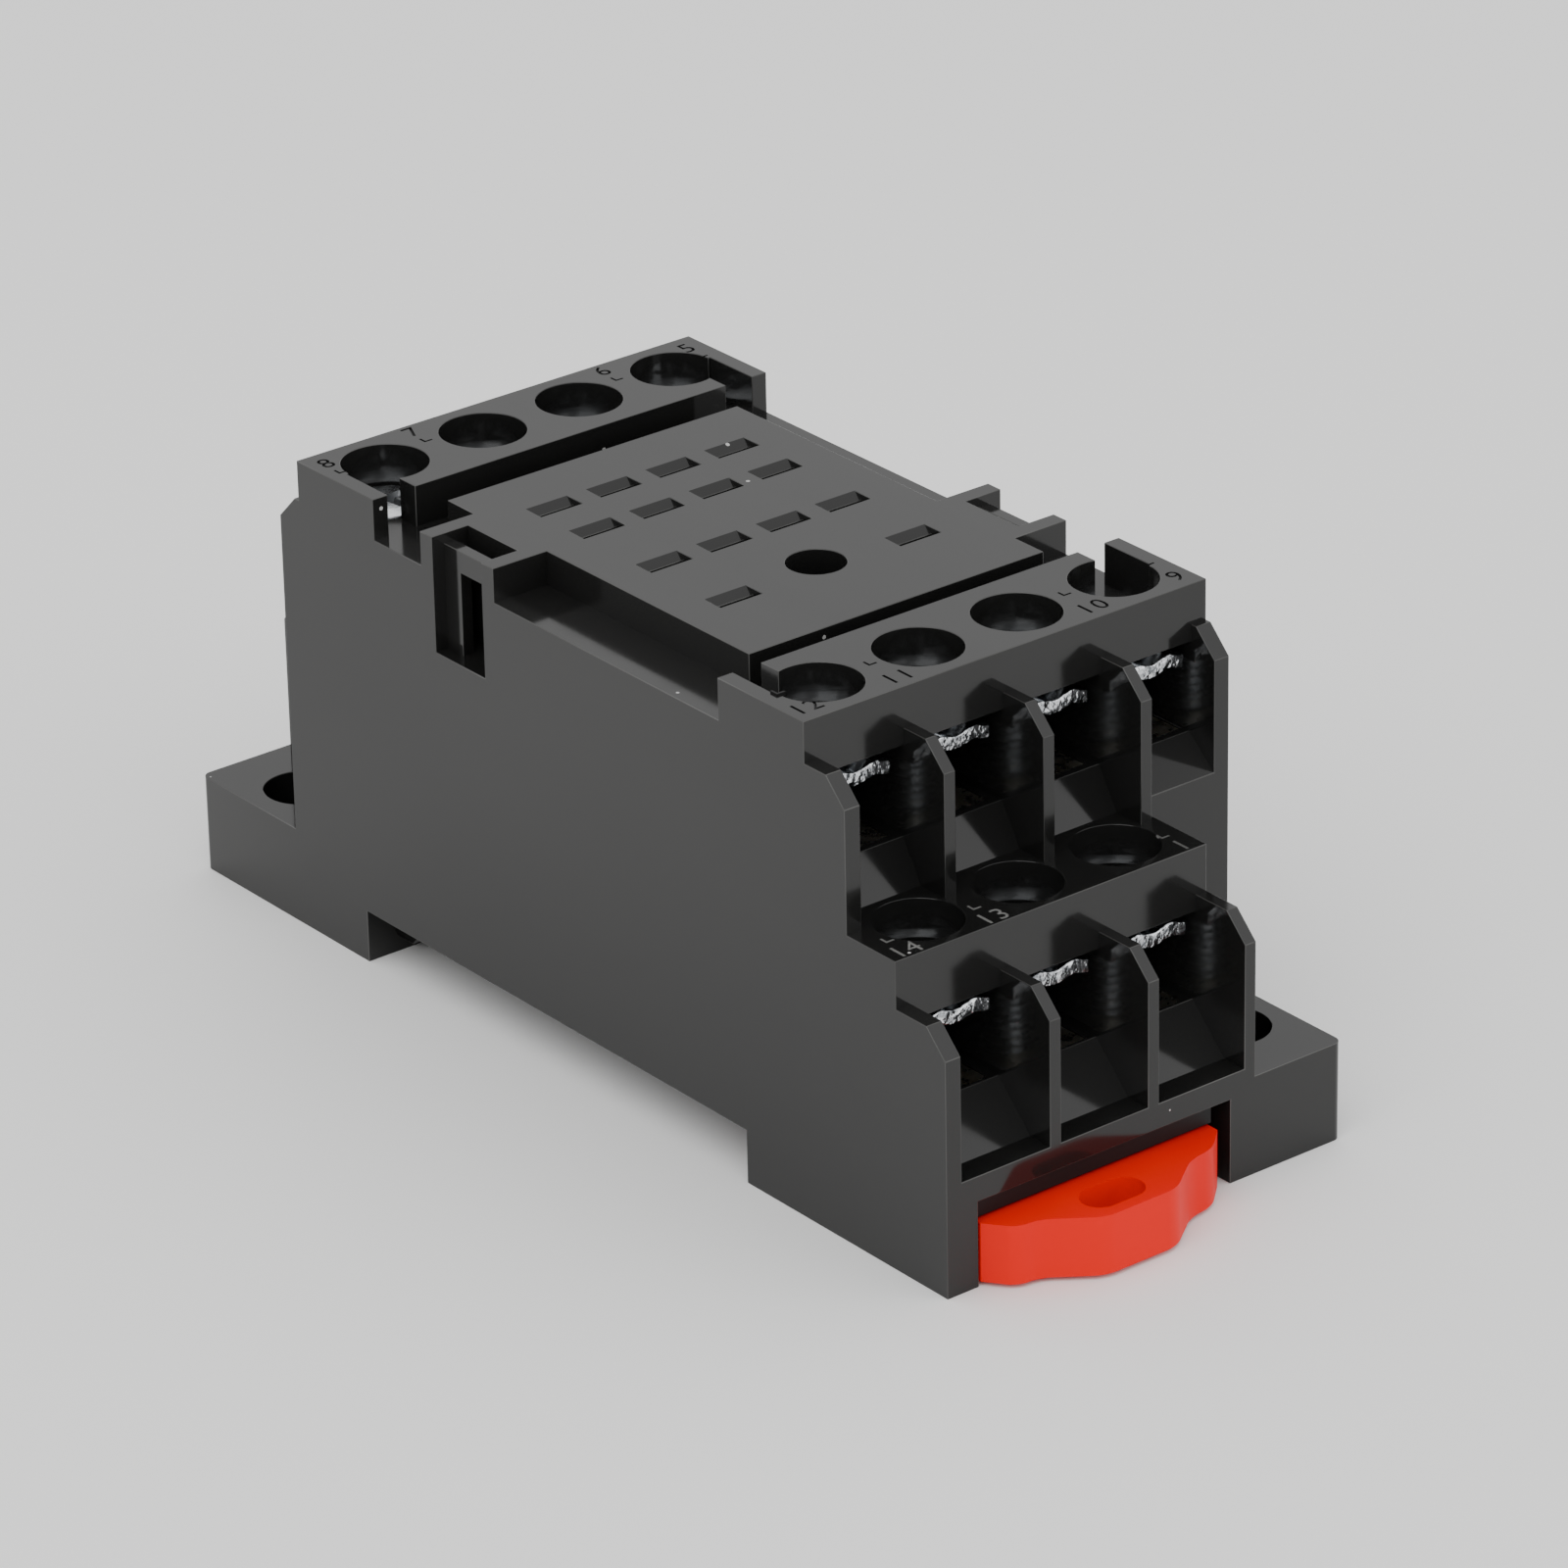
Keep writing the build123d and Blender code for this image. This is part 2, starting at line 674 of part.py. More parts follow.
def make_housing():
    """The one-piece moulding: tiers, bays, relay plate, ears and rail channel."""
    tiered = prism_x(tiered_outline(), -half_width, lower_block_edge_x)
    flanged = prism_x(flanged_outline(), lower_block_edge_x, half_width)
    corner = flanged.edges().filter_by(Axis.Z).sort_by(Axis.Y)[0:2].sort_by(Axis.X)[-1]
    front = tiered + fillet(corner, flange_corner_radius)
    plate_x = (-plate_half_width, plate_half_width)
    plate = block(*plate_x, -plate_half_length, plate_half_length, deck_top - fit_gap, plate_top)
    body = front + turned(front) + plate + left_ear() + turned(left_ear())
    spaces = terminal_spaces() + corner_notches() + left_ear_spaces()
    for x, lane in zip(upper_columns, upper_lanes()):
        spaces += upper_contact_space(x, lane)
    for x, lane in zip(lower_columns, lower_lanes()):
        spaces += lower_contact_space(x, lane)
    spaces = both_ends(spaces + [fixing_hole()])
    for x, y in blade_places():
        spaces += blade_slot(x, y)
    hole_z = plate_top - centre_hole_depth
    spaces.append(post(0, centre_hole_y, centre_hole_radius, hole_z, plate_top + overshoot))
    spaces += clip_slot() + [rail_channel(), contact_cavity()]
    return body - spaces


def make_bottom_cover():
    """Plate under the contact cavity, with ribs that carry the low runs."""
    half_x = cover_half_width
    half_y = cover_half_length
    cover = block(-half_x, half_x, -half_y, half_y, channel_ceiling, cover_top)
    rib_x = cavity_half_width - fit_gap
    for y in cover_rib_places:
        rib_y = (y - cover_rib / 2, y + cover_rib / 2)
        cover += block(-rib_x, rib_x, *rib_y, cover_top - fit_gap, low_level_z)
    for x, y in stake_places():
        cover -= eight_sided(x, y, stake_radius + fit_gap, 0, low_level_z + overshoot)
    return cover


def clip_plan():
    """Plan outline of the clip's handle and body."""
    left, right = clip_left_x, clip_right_x
    tip = -half_length - clip_handle_reach
    shoulder = -half_length - clip_shoulder_reach
    return [
        (left, clip_rear_y),
        (left, -half_length),
        (left + clip_left_shoulder[0], shoulder),
        (left + clip_left_shoulder[1], shoulder),
        (left + clip_tip_insets[0], tip),
        (right - clip_tip_insets[1], tip),
        (right - clip_right_shoulder[1], shoulder - clip_shoulder_slope),
        (right - clip_right_shoulder[0], shoulder),
        (right, -half_length - clip_shoulder_slope),
        (right, clip_rear_y),
    ]


def clip_edge_spaces(side):
    """Groove under one edge of the clip, and the slit that frees its sprung arm."""
    edge = clip_right_x if side > 0 else clip_left_x
    web_x = sorted((edge - side * clip_web_inset, edge + side * overshoot))
    slit_x = sorted((edge - side * clip_arm_width, edge - side * (clip_arm_width + clip_arm_slit)))
    rear_y = clip_rear_y + overshoot
    groove = block(*web_x, clip_handle_y, rear_y, 0, clip_flange_bottom)
    slit = block(*slit_x, clip_arm_root_y, rear_y, 0, clip_top + overshoot)
    return [groove, slit]


def clip_nub(side):
    """Rounded stop on the outside of one arm."""
    edge = clip_right_x if side > 0 else clip_left_x
    centre_x = edge - side * (clip_nub_radius - clip_nub_rise)
    return post(centre_x, clip_nub_y, clip_nub_radius, clip_flange_bottom, clip_top)


def make_din_clip():
    """Rail clip: handle, guided body, two sprung arms and the nose."""
    clip = prism_z(clip_plan(), clip_bottom, clip_top)
    for side in (-1, 1):
        clip = clip - clip_edge_spaces(side) + clip_nub(side)
    nose_bottom = clip_bottom + fit_gap
    nose = [
        (clip_rear_y - overshoot, nose_bottom),
        (clip_nose_y - clip_nose_chamfer, nose_bottom),
        (clip_nose_y, nose_bottom + clip_nose_chamfer),
        (clip_nose_y, hook_top),
        (clip_rear_y - overshoot, hook_top),
    ]
    clip += prism_x(nose, clip_nose_x - clip_nose_width / 2, clip_nose_x + clip_nose_width / 2)
    grip = SlotCenterToCenter(clip_grip_width - clip_grip_depth, clip_grip_depth)
    grip_x = clip_left_x + clip_grip_inset
    grip_y = -half_length - clip_grip_reach
    grip_floor = clip_top - clip_grip_depth
    return clip - Pos(grip_x, grip_y, grip_floor) * extrude(grip, amount=clip_grip_depth + overshoot)


def make_clamp(x, y, top):
    """Saddle clamp, a plate with two bent-down edges that presses on the wire."""
    half = clamp_width / 2
    flat = half - clamp_edge
    line = [(x - half, top - clamp_arch), (x - flat, top), (x + flat, top), (x + half, top - clamp_arch)]
    under = [(point_x, z - clamp_thickness) for point_x, z in reversed(line)]
    saddle = prism_y(line + under, y - clamp_front, y + clamp_back)
    return saddle - eight_sided(x, y, screw_shank_radius + running_gap, 0, row_top)


def make_screw(x, y, clamp_top):
    """Pan-head terminal screw with a cross recess, seated on its clamp."""
    head_top = clamp_top + screw_head_height
    tip = clamp_top - screw_length
    outline = [
        (0, tip),
        (screw_shank_radius, tip),
        (screw_shank_radius, clamp_top),
        (screw_head_radius, clamp_top),
        (screw_head_radius, head_top),
        (0, head_top),
    ]
    body = revolve(Plane.XZ * make_face(Polyline(*outline, close=True)), Axis.Z)
    recess_z = (head_top - recess_depth, head_top + overshoot)
    half_long = recess_length / 2
    half_short = recess_width / 2
    body -= block(-half_long, half_long, -half_short, half_short, *recess_z)
    body -= block(-half_short, half_short, -half_long, half_long, *recess_z)
    return Pos(x, y, 0) * body


def save(shape, name):
    """Write one sub-part under its own name."""
    shape.label = name
    export_step(shape, f"parts/{name}.step")


def build_terminals():
    """Contacts, clamps and screws of both ends."""
    ends = (
        ("front", changeover_row_y, front_lower_routes(), lambda shape: shape),
        ("back", -make_row_y, back_lower_routes(), turned),
    )
    for end, upper_row, lower_routes, place in ends:
        for number, route in enumerate(upper_routes(upper_row), start=1):
            save(place(upper_contact(*route)), f"contact_{end}_upper_{number}")
            save(place(make_clamp(route[0], -upper_screw_y, upper_clamp_top)), f"clamp_{end}_upper_{number}")
            save(place(make_screw(route[0], -upper_screw_y, upper_clamp_top)), f"screw_{end}_upper_{number}")
        for number, route in enumerate(lower_routes, start=1):
            save(place(lower_contact(*route)), f"contact_{end}_lower_{number}")
            save(place(make_clamp(route[0], -lower_screw_y, lower_clamp_top)), f"clamp_{end}_lower_{number}")
            save(place(make_screw(route[0], -lower_screw_y, lower_clamp_top)), f"screw_{end}_lower_{number}")


os.makedirs("parts", exist_ok=True)
save(make_housing(), "housing")
save(make_bottom_cover(), "bottom_cover")
save(make_din_clip(), "din_clip")
build_terminals()
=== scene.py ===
import logging
import math
from dataclasses import dataclass, field
from enum import Enum
from typing import Iterable, Sequence

import bmesh
import bpy
from mathutils import Matrix, Vector, noise


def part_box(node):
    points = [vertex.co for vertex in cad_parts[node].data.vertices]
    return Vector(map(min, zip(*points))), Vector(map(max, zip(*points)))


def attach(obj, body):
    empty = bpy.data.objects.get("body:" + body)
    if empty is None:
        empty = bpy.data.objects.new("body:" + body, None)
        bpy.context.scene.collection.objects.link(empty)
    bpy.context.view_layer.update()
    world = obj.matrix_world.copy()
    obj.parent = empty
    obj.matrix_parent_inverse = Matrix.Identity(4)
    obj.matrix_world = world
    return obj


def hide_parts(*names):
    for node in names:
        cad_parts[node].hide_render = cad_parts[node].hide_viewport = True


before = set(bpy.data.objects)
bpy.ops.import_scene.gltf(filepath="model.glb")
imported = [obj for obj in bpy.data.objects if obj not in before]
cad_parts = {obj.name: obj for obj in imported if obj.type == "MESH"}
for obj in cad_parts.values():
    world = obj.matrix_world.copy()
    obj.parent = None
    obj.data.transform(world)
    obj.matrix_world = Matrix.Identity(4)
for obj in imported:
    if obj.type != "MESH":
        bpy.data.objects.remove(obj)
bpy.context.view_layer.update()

logging.basicConfig(level=logging.INFO, format="%(message)s")
LOG = logging.getLogger("relay_socket")

# A millimetre in metres, and the distance under which two corners are one.
MM = 0.001
WELD = 2e-7
# How far the lower steps' tops lie under the upper ones.
STEP_DROP = 11.8 * MM
# Material indices of a piece's faces: its main finish, that of its edges or its recess, the near-black finish
# of painted shade in the engraved numbers above and in the clip's mouth, and the pale finish of painted
# highlight in the engraved numbers on the lower steps.
MAIN, EDGE, SHADED, GLINTED = range(4)


class End(Enum):
    """The two ends of the socket; the back is the front turned half round."""

    FRONT = "front"
    BACK = "back"


class Tier(Enum):
    """The two steps of screw terminals at each end, with their terminal count."""

    UPPER = ("upper", 4)
    LOWER = ("lower", 3)

    @property
    def label(self) -> str:
        """The tier's part of a node's name."""
        return self.value[0]

    @property
    def count(self) -> int:
        """How many terminals the tier has."""
        return self.value[1]


@dataclass(frozen=True)
class Terminal:
    """One screw terminal, placed by its CAD nodes."""

    end: End
    tier: Tier
    number: int

    @property
    def tag(self) -> str:
        """The ending that its nodes share."""
        return f"{self.end.value}_{self.tier.label}_{self.number}"

    @property
    def seat(self) -> Vector:
        """Middle of the screw's axis, at the top of the clamp.

        Returns:
            The point, in metres.
        """
        low, high = (Vector(corner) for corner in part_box(f"screw_{self.tag}"))
        middle = (low + high) / 2
        return Vector((middle.x, middle.y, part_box(f"clamp_{self.tag}")[1][2]))


def all_terminals() -> list[Terminal]:
    """Every terminal of the socket, in order."""
    return [Terminal(end, tier, n) for end in End for tier in Tier for n in range(1, tier.count + 1)]


@dataclass
class Nodes:
    """A small drawing board for one material's node tree."""

    material: bpy.types.Material
    noise_low: float = 0.3
    noise_high: float = 0.7

    def add(self, kind: str, **values: object) -> bpy.types.Node:
        """Add a node and set its sockets and properties.

        Args:
            kind: Blender's name of the node type.
            **values: sockets by name with underscores, or node properties.

        Returns:
            The new node.
        """
        node = self.material.node_tree.nodes.new(kind)
        for name, value in values.items():
            label = name.replace("_", " ")
            if label in node.inputs:
                node.inputs[label].default_value = value
            else:
                setattr(node, name, value)
        return node

    def link(self, source: bpy.types.NodeSocket, target: bpy.types.NodeSocket) -> None:
        """Join two sockets."""
        self.material.node_tree.links.new(source, target)

    def coords(self) -> bpy.types.NodeSocket:
        """The object's own coordinates."""
        return self.add("ShaderNodeTexCoord").outputs["Object"]

    def noise(
        self,
        coords: bpy.types.NodeSocket,
        scale: float,
        detail: float = 3.0,
        stretch: Sequence[float] = (1.0, 1.0, 1.0),
    ) -> bpy.types.NodeSocket:
        """Noise on the object's own coordinates.

        Args:
            coords: the coordinate output that the pattern reads.
            scale: features per metre.
            detail: octaves of the noise.
            stretch: scale along each axis before the noise.

        Returns:
            The noise node's factor output.
        """
        mapping = self.add("ShaderNodeMapping")
        mapping.inputs["Scale"].default_value = stretch
        pattern = self.add("ShaderNodeTexNoise", Scale=scale, Detail=detail)
        self.link(coords, mapping.inputs["Vector"])
        self.link(mapping.outputs["Vector"], pattern.inputs["Vector"])
        return pattern.outputs["Fac"]

    def spread(self, value: bpy.types.NodeSocket, low: float, high: float) -> bpy.types.NodeSocket:
        """Map a factor about one half to a range of values.

        Args:
            value: the factor to map.
            low: the result where the factor is noise_low or less.
            high: the result where the factor is noise_high or more.

        Returns:
            The mapped output.
        """
        node = self.add("ShaderNodeMapRange")
        node.inputs["From Min"].default_value = self.noise_low
        node.inputs["From Max"].default_value = self.noise_high
        node.inputs["To Min"].default_value = low
        node.inputs["To Max"].default_value = high
        self.link(value, node.inputs["Value"])
        return node.outputs["Result"]

    def blend(
        self,
        factor: bpy.types.NodeSocket,
        first: Sequence[float],
        second: Sequence[float],
    ) -> bpy.types.NodeSocket:
        """Mix two colours by a factor.

        Args:
            factor: 0 for the first colour, 1 for the second.
            first: colour as red, green and blue.
            second: colour as red, green and blue.

        Returns:
            The mixed colour.
        """
        mix = self.add("ShaderNodeMix", data_type="RGBA")
        mix.inputs["A"].default_value = (*first, 1.0)
        mix.inputs["B"].default_value = (*second, 1.0)
        self.link(factor, mix.inputs["Factor"])
        return mix.outputs["Result"]

    def specks(
        self,
        coords: bpy.types.NodeSocket,
        scale: float,
        size: float,
        share: float,
    ) -> bpy.types.NodeSocket:
        """Sparse round specks.

        Args:
            coords: the coordinate output that the pattern reads.
            scale: cells per metre, with one speck in a cell at most.
            size: radius of a speck as a share of a cell.
            share: share of the cells that hold a speck.

        Returns:
            1 on a speck and 0 elsewhere.
        """
        cells = self.add("ShaderNodeTexVoronoi", Scale=scale)
        self.link(coords, cells.inputs["Vector"])
        near = self.add("ShaderNodeMath", operation="LESS_THAN")
        near.inputs[1].default_value = size
        self.link(cells.outputs["Distance"], near.inputs[0])
        split = self.add("ShaderNodeSeparateColor")
        self.link(cells.outputs["Color"], split.inputs["Color"])
        chosen = self.add("ShaderNodeMath", operation="GREATER_THAN")
        chosen.inputs[1].default_value = 1.0 - share
        self.link(split.outputs["Red"], chosen.inputs[0])
        both = self.add("ShaderNodeMath", operation="MULTIPLY")
        self.link(near.outputs["Value"], both.inputs[0])
        self.link(chosen.outputs["Value"], both.inputs[1])
        return both.outputs["Value"]

    def bump(
        self,
        height: bpy.types.NodeSocket,
        strength: float,
        distance: float,
        under: bpy.types.NodeSocket | None = None,
    ) -> bpy.types.NodeSocket:
        """Raise a height pattern on the surface.

        Args:
            height: the pattern.
            strength: share of the effect.
            distance: height of the pattern in metres.
            under: the normal that this one is laid over.

        Returns:
            The new normal.
        """
        node = self.add("ShaderNodeBump", Strength=strength, Distance=distance)
        self.link(height, node.inputs["Height"])
        if under is not None:
            self.link(under, node.inputs["Normal"])
        return node.outputs["Normal"]


@dataclass(frozen=True)
class MouldedPlastic:
    """Glossy moulded plastic with flow marks, fine grain, haze and dust specks."""

    name: str
    colour: tuple[float, float, float]
    tint: tuple[float, float, float]
    gloss: tuple[float, float]
    speck_colour: tuple[float, float, float] = (0.45, 0.45, 0.44)
    speck_share: float = 0.5
    speck_scale: float = 380.0
    speck_size: float = 0.05
    grain_depth: float = 0.05
    ripple_depth: float = 0.05
    sheen_level: float = 0.4
    glow: float = 0.0
    flow: tuple[float, float, float] = (1.0, 0.35, 1.0)
    flow_scale: float = 55.0
    haze_scale: float = 210.0
    ripple_scale: float = 130.0
    ripple_height: float = 0.4 * MM
    grain_scale: float = 9000.0
    grain_height: float = 0.004 * MM
    glow_reach: tuple[float, float, float] = (1.0, 0.25, 0.1)
    glow_depth: float = 1.2 * MM
    refraction: float = 1.5

    def make(self) -> bpy.types.Material:
        """Build the material.

        Returns:
            A node material that reads Object coordinates.
        """
        material = bpy.data.materials.new(self.name)
        material.use_nodes = True
        board = Nodes(material)
        shader = material.node_tree.nodes["Principled BSDF"]
        shader.inputs["IOR"].default_value = self.refraction
        shader.inputs["Specular IOR Level"].default_value = self.sheen_level
        shader.inputs["Subsurface Weight"].default_value = self.glow
        shader.inputs["Subsurface Radius"].default_value = self.glow_reach
        shader.inputs["Subsurface Scale"].default_value = self.glow_depth
        coords = board.coords()
        flow = board.spread(board.noise(coords, self.flow_scale, 4.0, self.flow), 0.0, 1.0)
        moulded = board.blend(flow, self.colour, self.tint)
        specks = board.specks(coords, self.speck_scale, self.speck_size, self.speck_share)
        dusty = board.add("ShaderNodeMix", data_type="RGBA")
        dusty.inputs["B"].default_value = (*self.speck_colour, 1.0)
        board.link(specks, dusty.inputs["Factor"])
        board.link(moulded, dusty.inputs["A"])
        board.link(dusty.outputs["Result"], shader.inputs["Base Color"])
        haze = board.spread(board.noise(coords, self.haze_scale, 5.0), *self.gloss)
        board.link(haze, shader.inputs["Roughness"])
        waves = board.noise(coords, self.ripple_scale, 2.0, self.flow)
        ripple = board.bump(waves, self.ripple_depth, self.ripple_height)
        grit = board.noise(coords, self.grain_scale, 2.0)
        grain = board.bump(grit, self.grain_depth, self.grain_height, ripple)
        board.link(grain, shader.inputs["Normal"])
        return material


@dataclass(frozen=True)
class PlatedMetal:
    """Bright plated metal with rolling marks, cloudy plating and dull spots."""

    name: str
    colour: tuple[float, float, float]
    shade: tuple[float, float, float]
    gloss: tuple[float, float]
    mark_depth: float = 0.35
    dent_depth: float = 0.3
    rolled: tuple[float, float, float] = (1.0, 0.12, 1.0)
    cloud_scale: float = 900.0
    dent_scale: float = 1100.0
    dent_height: float = 0.12 * MM
    mark_scale: float = 5200.0
    mark_height: float = 0.012 * MM
    gloss_scale: float = 1500.0

    def make(self) -> bpy.types.Material:
        """Build the material.

        Returns:
            A node material that reads Object coordinates.
        """
        material = bpy.data.materials.new(self.name)
        material.use_nodes = True
        board = Nodes(material)
        shader = material.node_tree.nodes["Principled BSDF"]
        shader.inputs["Metallic"].default_value = 1.0
        coords = board.coords()
        clouds = board.spread(board.noise(coords, self.cloud_scale, 4.0, self.rolled), 0.0, 1.0)
        board.link(board.blend(clouds, self.colour, self.shade), shader.inputs["Base Color"])
        haze = board.spread(board.noise(coords, self.gloss_scale, 3.0), *self.gloss)
        board.link(haze, shader.inputs["Roughness"])
        dents = board.bump(board.noise(coords, self.dent_scale, 2.0), self.dent_depth, self.dent_height)
        lines = board.noise(coords, self.mark_scale, 3.0, self.rolled)
        marks = board.bump(lines, self.mark_depth, self.mark_height, dents)
        board.link(marks, shader.inputs["Normal"])
        return material


@dataclass
class Finishes:
    """Every finish of the socket, made once."""

    housing: bpy.types.Material = field(init=False)
    housing_edge: bpy.types.Material = field(init=False)
    recess_shadow: bpy.types.Material = field(init=False)
    glinting_numeral: bpy.types.Material = field(init=False)
    cover: bpy.types.Material = field(init=False)
    clip: bpy.types.Material = field(init=False)
    clip_edge: bpy.types.Material = field(init=False)
    clamp: bpy.types.Material = field(init=False)
    sheared: bpy.types.Material = field(init=False)
    screw: bpy.types.Material = field(init=False)
    recess: bpy.types.Material = field(init=False)
    contact: bpy.types.Material = field(init=False)

    def __post_init__(self) -> None:
        """Make the materials."""
        black, charcoal, edge_sheen_grey = (0.0085, 0.0085, 0.0082), (0.0125, 0.0125, 0.012), (0.085, 0.085, 0.082)
        self.housing = MouldedPlastic("black_moulding", black, charcoal, (0.08, 0.15)).make()
        # Painted highlight: the rounded edges of the housing and cover mix in a lighter grey for the light
        # that they catch.
        self.housing_edge = MouldedPlastic("black_moulding_edge", charcoal, edge_sheen_grey, (0.16, 0.28)).make()
        # Painted shade: the engraved numbers on the upper tiers and the inside of the clip's mouth get a
        # near-black, rough finish.
        shade_black, shadow = (0.004, 0.004, 0.004), (0.008, 0.008, 0.008)
        self.recess_shadow = MouldedPlastic(
            "shadow_painted_recess", shade_black, shadow, (0.5, 0.6), speck_share=0.0, sheen_level=0.25
        ).make()
        # Painted highlight: the engraved numbers on the lower steps get a pale grey for the light that their
        # walls catch.
        glint_grey, ash = (0.32, 0.32, 0.31), (0.05, 0.05, 0.05)
        self.glinting_numeral = MouldedPlastic("glinting_numeral", glint_grey, ash, (0.4, 0.55), speck_share=0.0).make()
        coal, slate = (0.012, 0.012, 0.012), (0.018, 0.018, 0.018)
        self.cover = MouldedPlastic("black_cover", coal, slate, (0.34, 0.48), grain_depth=0.35).make()
        orange, deep, light = (0.80, 0.006, 0.001), (0.72, 0.004, 0.001), (0.86, 0.02, 0.004)
        self.clip = MouldedPlastic(
            "orange_moulding",
            orange,
            deep,
            (0.4, 0.5),
            speck_colour=(0.9, 0.1, 0.05),
            speck_share=0.1,
            sheen_level=0.12,
            glow=0.05,
        ).make()
        # Painted highlight: the clip's rounded edges get a lighter orange.
        self.clip_edge = MouldedPlastic(
            "orange_moulding_edge", light, orange, (0.35, 0.45), speck_share=0.0, sheen_level=0.2, glow=0.05
        ).make()
        zinc, dull = (0.88, 0.90, 0.92), (0.62, 0.65, 0.68)
        self.clamp = PlatedMetal("zinc_clamp", zinc, dull, (0.10, 0.28)).make()
        # Painted highlight and painted reflection: the sheared faces mix near-white and near-black metal in
        # fine clouds, for bright glints and dark reflected streaks.
        glint_white, reflected_dark = (0.95, 0.97, 1.0), (0.10, 0.11, 0.12)
        self.sheared = PlatedMetal(
            "zinc_sheared_edge",
            glint_white,
            reflected_dark,
            (0.06, 0.3),
            mark_depth=1.0,
            dent_depth=1.0,
            rolled=(1.0, 1.0, 1.8),
            cloud_scale=1800.0,
            dent_scale=2400.0,
        ).make()
        self.screw = PlatedMetal("zinc_screw", zinc, dull, (0.2, 0.36), rolled=(1.0, 1.0, 1.0)).make()
        # Painted shade: the screw's cross recess gets a darker metal than its head.
        recess_grey, recess_dark = (0.5, 0.51, 0.52), (0.3, 0.31, 0.32)
        self.recess = PlatedMetal("screw_recess", recess_grey, recess_dark, (0.3, 0.45)).make()
        tin, brass = (0.78, 0.76, 0.70), (0.66, 0.60, 0.48)
        self.contact = PlatedMetal("tinned_brass", tin, brass, (0.22, 0.38)).make()


def stored(mesh: bmesh.types.BMesh, name: str) -> bpy.types.Mesh:
    """Keep a worked mesh as mesh data.

    Args:
        mesh: the shape, which is used up.
        name: the data's name.

    Returns:
        The mesh data.
    """
    data = bpy.data.meshes.new(name)
    mesh.to_mesh(data)
    mesh.free()
    return data


def in_scene(name: str, data: bpy.types.ID) -> bpy.types.Object:
    """Make an object of its data and link it to the scene.

    Args:
        name: the object's name.
        data: its mesh, text, lamp or camera.

    Returns:
        The new object.
    """
    thing = bpy.data.objects.new(name, data)
    bpy.context.scene.collection.objects.link(thing)
    return thing


def finished(
    mesh: bmesh.types.BMesh,
    name: str,
    materials: Sequence[bpy.types.Material],
    body: str,
    node: str,
) -> bpy.types.Object:
    """Turn a worked mesh into a piece of the socket that stands for a node.

    Args:
        mesh: the shape, in place, in metres, which is used up.
        name: the piece's name.
        materials: its finishes, by material index.
        body: the body that it rides on.
        node: the node that it replaces.

    Returns:
        The new object.
    """
    data = stored(mesh, name)
    piece = in_scene(name, data)
    for material in materials:
        data.materials.append(material)
    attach(piece, body)
    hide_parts(node)
    return piece


def node_copy(node: str, flat_angle: float = 0.5) -> bmesh.types.BMesh:
    """Merged copy of a CAD node's mesh, with its flat faces joined up.

    Args:
        node: the node's name.
        flat_angle: largest angle between faces that become one, in degrees.

    Returns:
        The copy as a bmesh.
    """
    mesh = bmesh.new()
    mesh.from_mesh(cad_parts[node].data)
    bmesh.ops.remove_doubles(mesh, verts=mesh.verts[:], dist=WELD)
    bmesh.ops.dissolve_limit(
        mesh,
        angle_limit=math.radians(flat_angle),
        verts=mesh.verts[:],
        edges=mesh.edges[:],
        use_dissolve_boundaries=False,
    )
    for face in mesh.faces:
        face.material_index = MAIN
    return mesh


def edge_angle(edge: bmesh.types.BMEdge) -> float:
    """Angle between an edge's two faces, in degrees, and 0 on an open edge."""
    return math.degrees(edge.calc_face_angle(0.0)) if edge.is_manifold else 0.0


def round_edges(
    mesh: bmesh.types.BMesh,
    edges: Iterable[bmesh.types.BMEdge],
    width: float,
    segments: int,
    material: int = -1,
) -> None:
    """Round chosen edges of a mesh.

    Args:
        mesh: the mesh to work on.
        edges: the edges to round.
        width: width of the rounding in metres.
        segments: steps across it.
        material: index that the new faces get, or -1 to keep their neighbours'.
    """
    bmesh.ops.bevel(
        mesh,
        geom=list(edges),
        offset=width,
        offset_type="OFFSET",
        segments=segments,
        profile=0.5,
        affect="EDGES",
        clamp_overlap=True,
        material=material,
        loop_slide=True,
    )


def shade_by_angle(mesh: bmesh.types.BMesh, angle: float = 20.0, rounding: float = 50.0) -> None:
    """Smooth the round faces of a mesh, and keep its flats apart from their rounded edges.

    Args:
        mesh: the mesh to shade, with any rounded edges under the index EDGE.
        angle: largest angle that is shaded smooth between other faces, in degrees.
        rounding: the same between two faces of a rounded edge.
    """
    for face in mesh.faces:
        face.smooth = True
    for edge in mesh.edges:
        indices = {face.material_index for face in edge.link_faces}
        limit = rounding if indices == {EDGE} else angle if len(indices) == 1 else 0.0
        edge.smooth = edge.is_manifold and edge_angle(edge) < limit


def lathe(profile: Sequence[tuple[float, float]], steps: int) -> bmesh.types.BMesh:
    """Turn a half outline about the Z axis.

    Args:
        profile: radius and height of each point, in metres.
        steps: faces round the axis.

    Returns:
        The closed shape.
    """
    mesh = bmesh.new()
    points = [mesh.verts.new((radius, 0.0, z)) for radius, z in profile]
    edges = [mesh.edges.new(pair) for pair in zip(points, points[1:])]
    bmesh.ops.spin(
        mesh,
        geom=points + edges,
        cent=(0, 0, 0),
        axis=(0, 0, 1),
        dvec=(0, 0, 0),
        angle=math.tau,
        steps=steps,
        use_merge=True,
        use_duplicate=False,
    )
    bmesh.ops.remove_doubles(mesh, verts=mesh.verts[:], dist=WELD)
    bmesh.ops.recalc_face_normals(mesh, faces=mesh.faces[:])
    return mesh


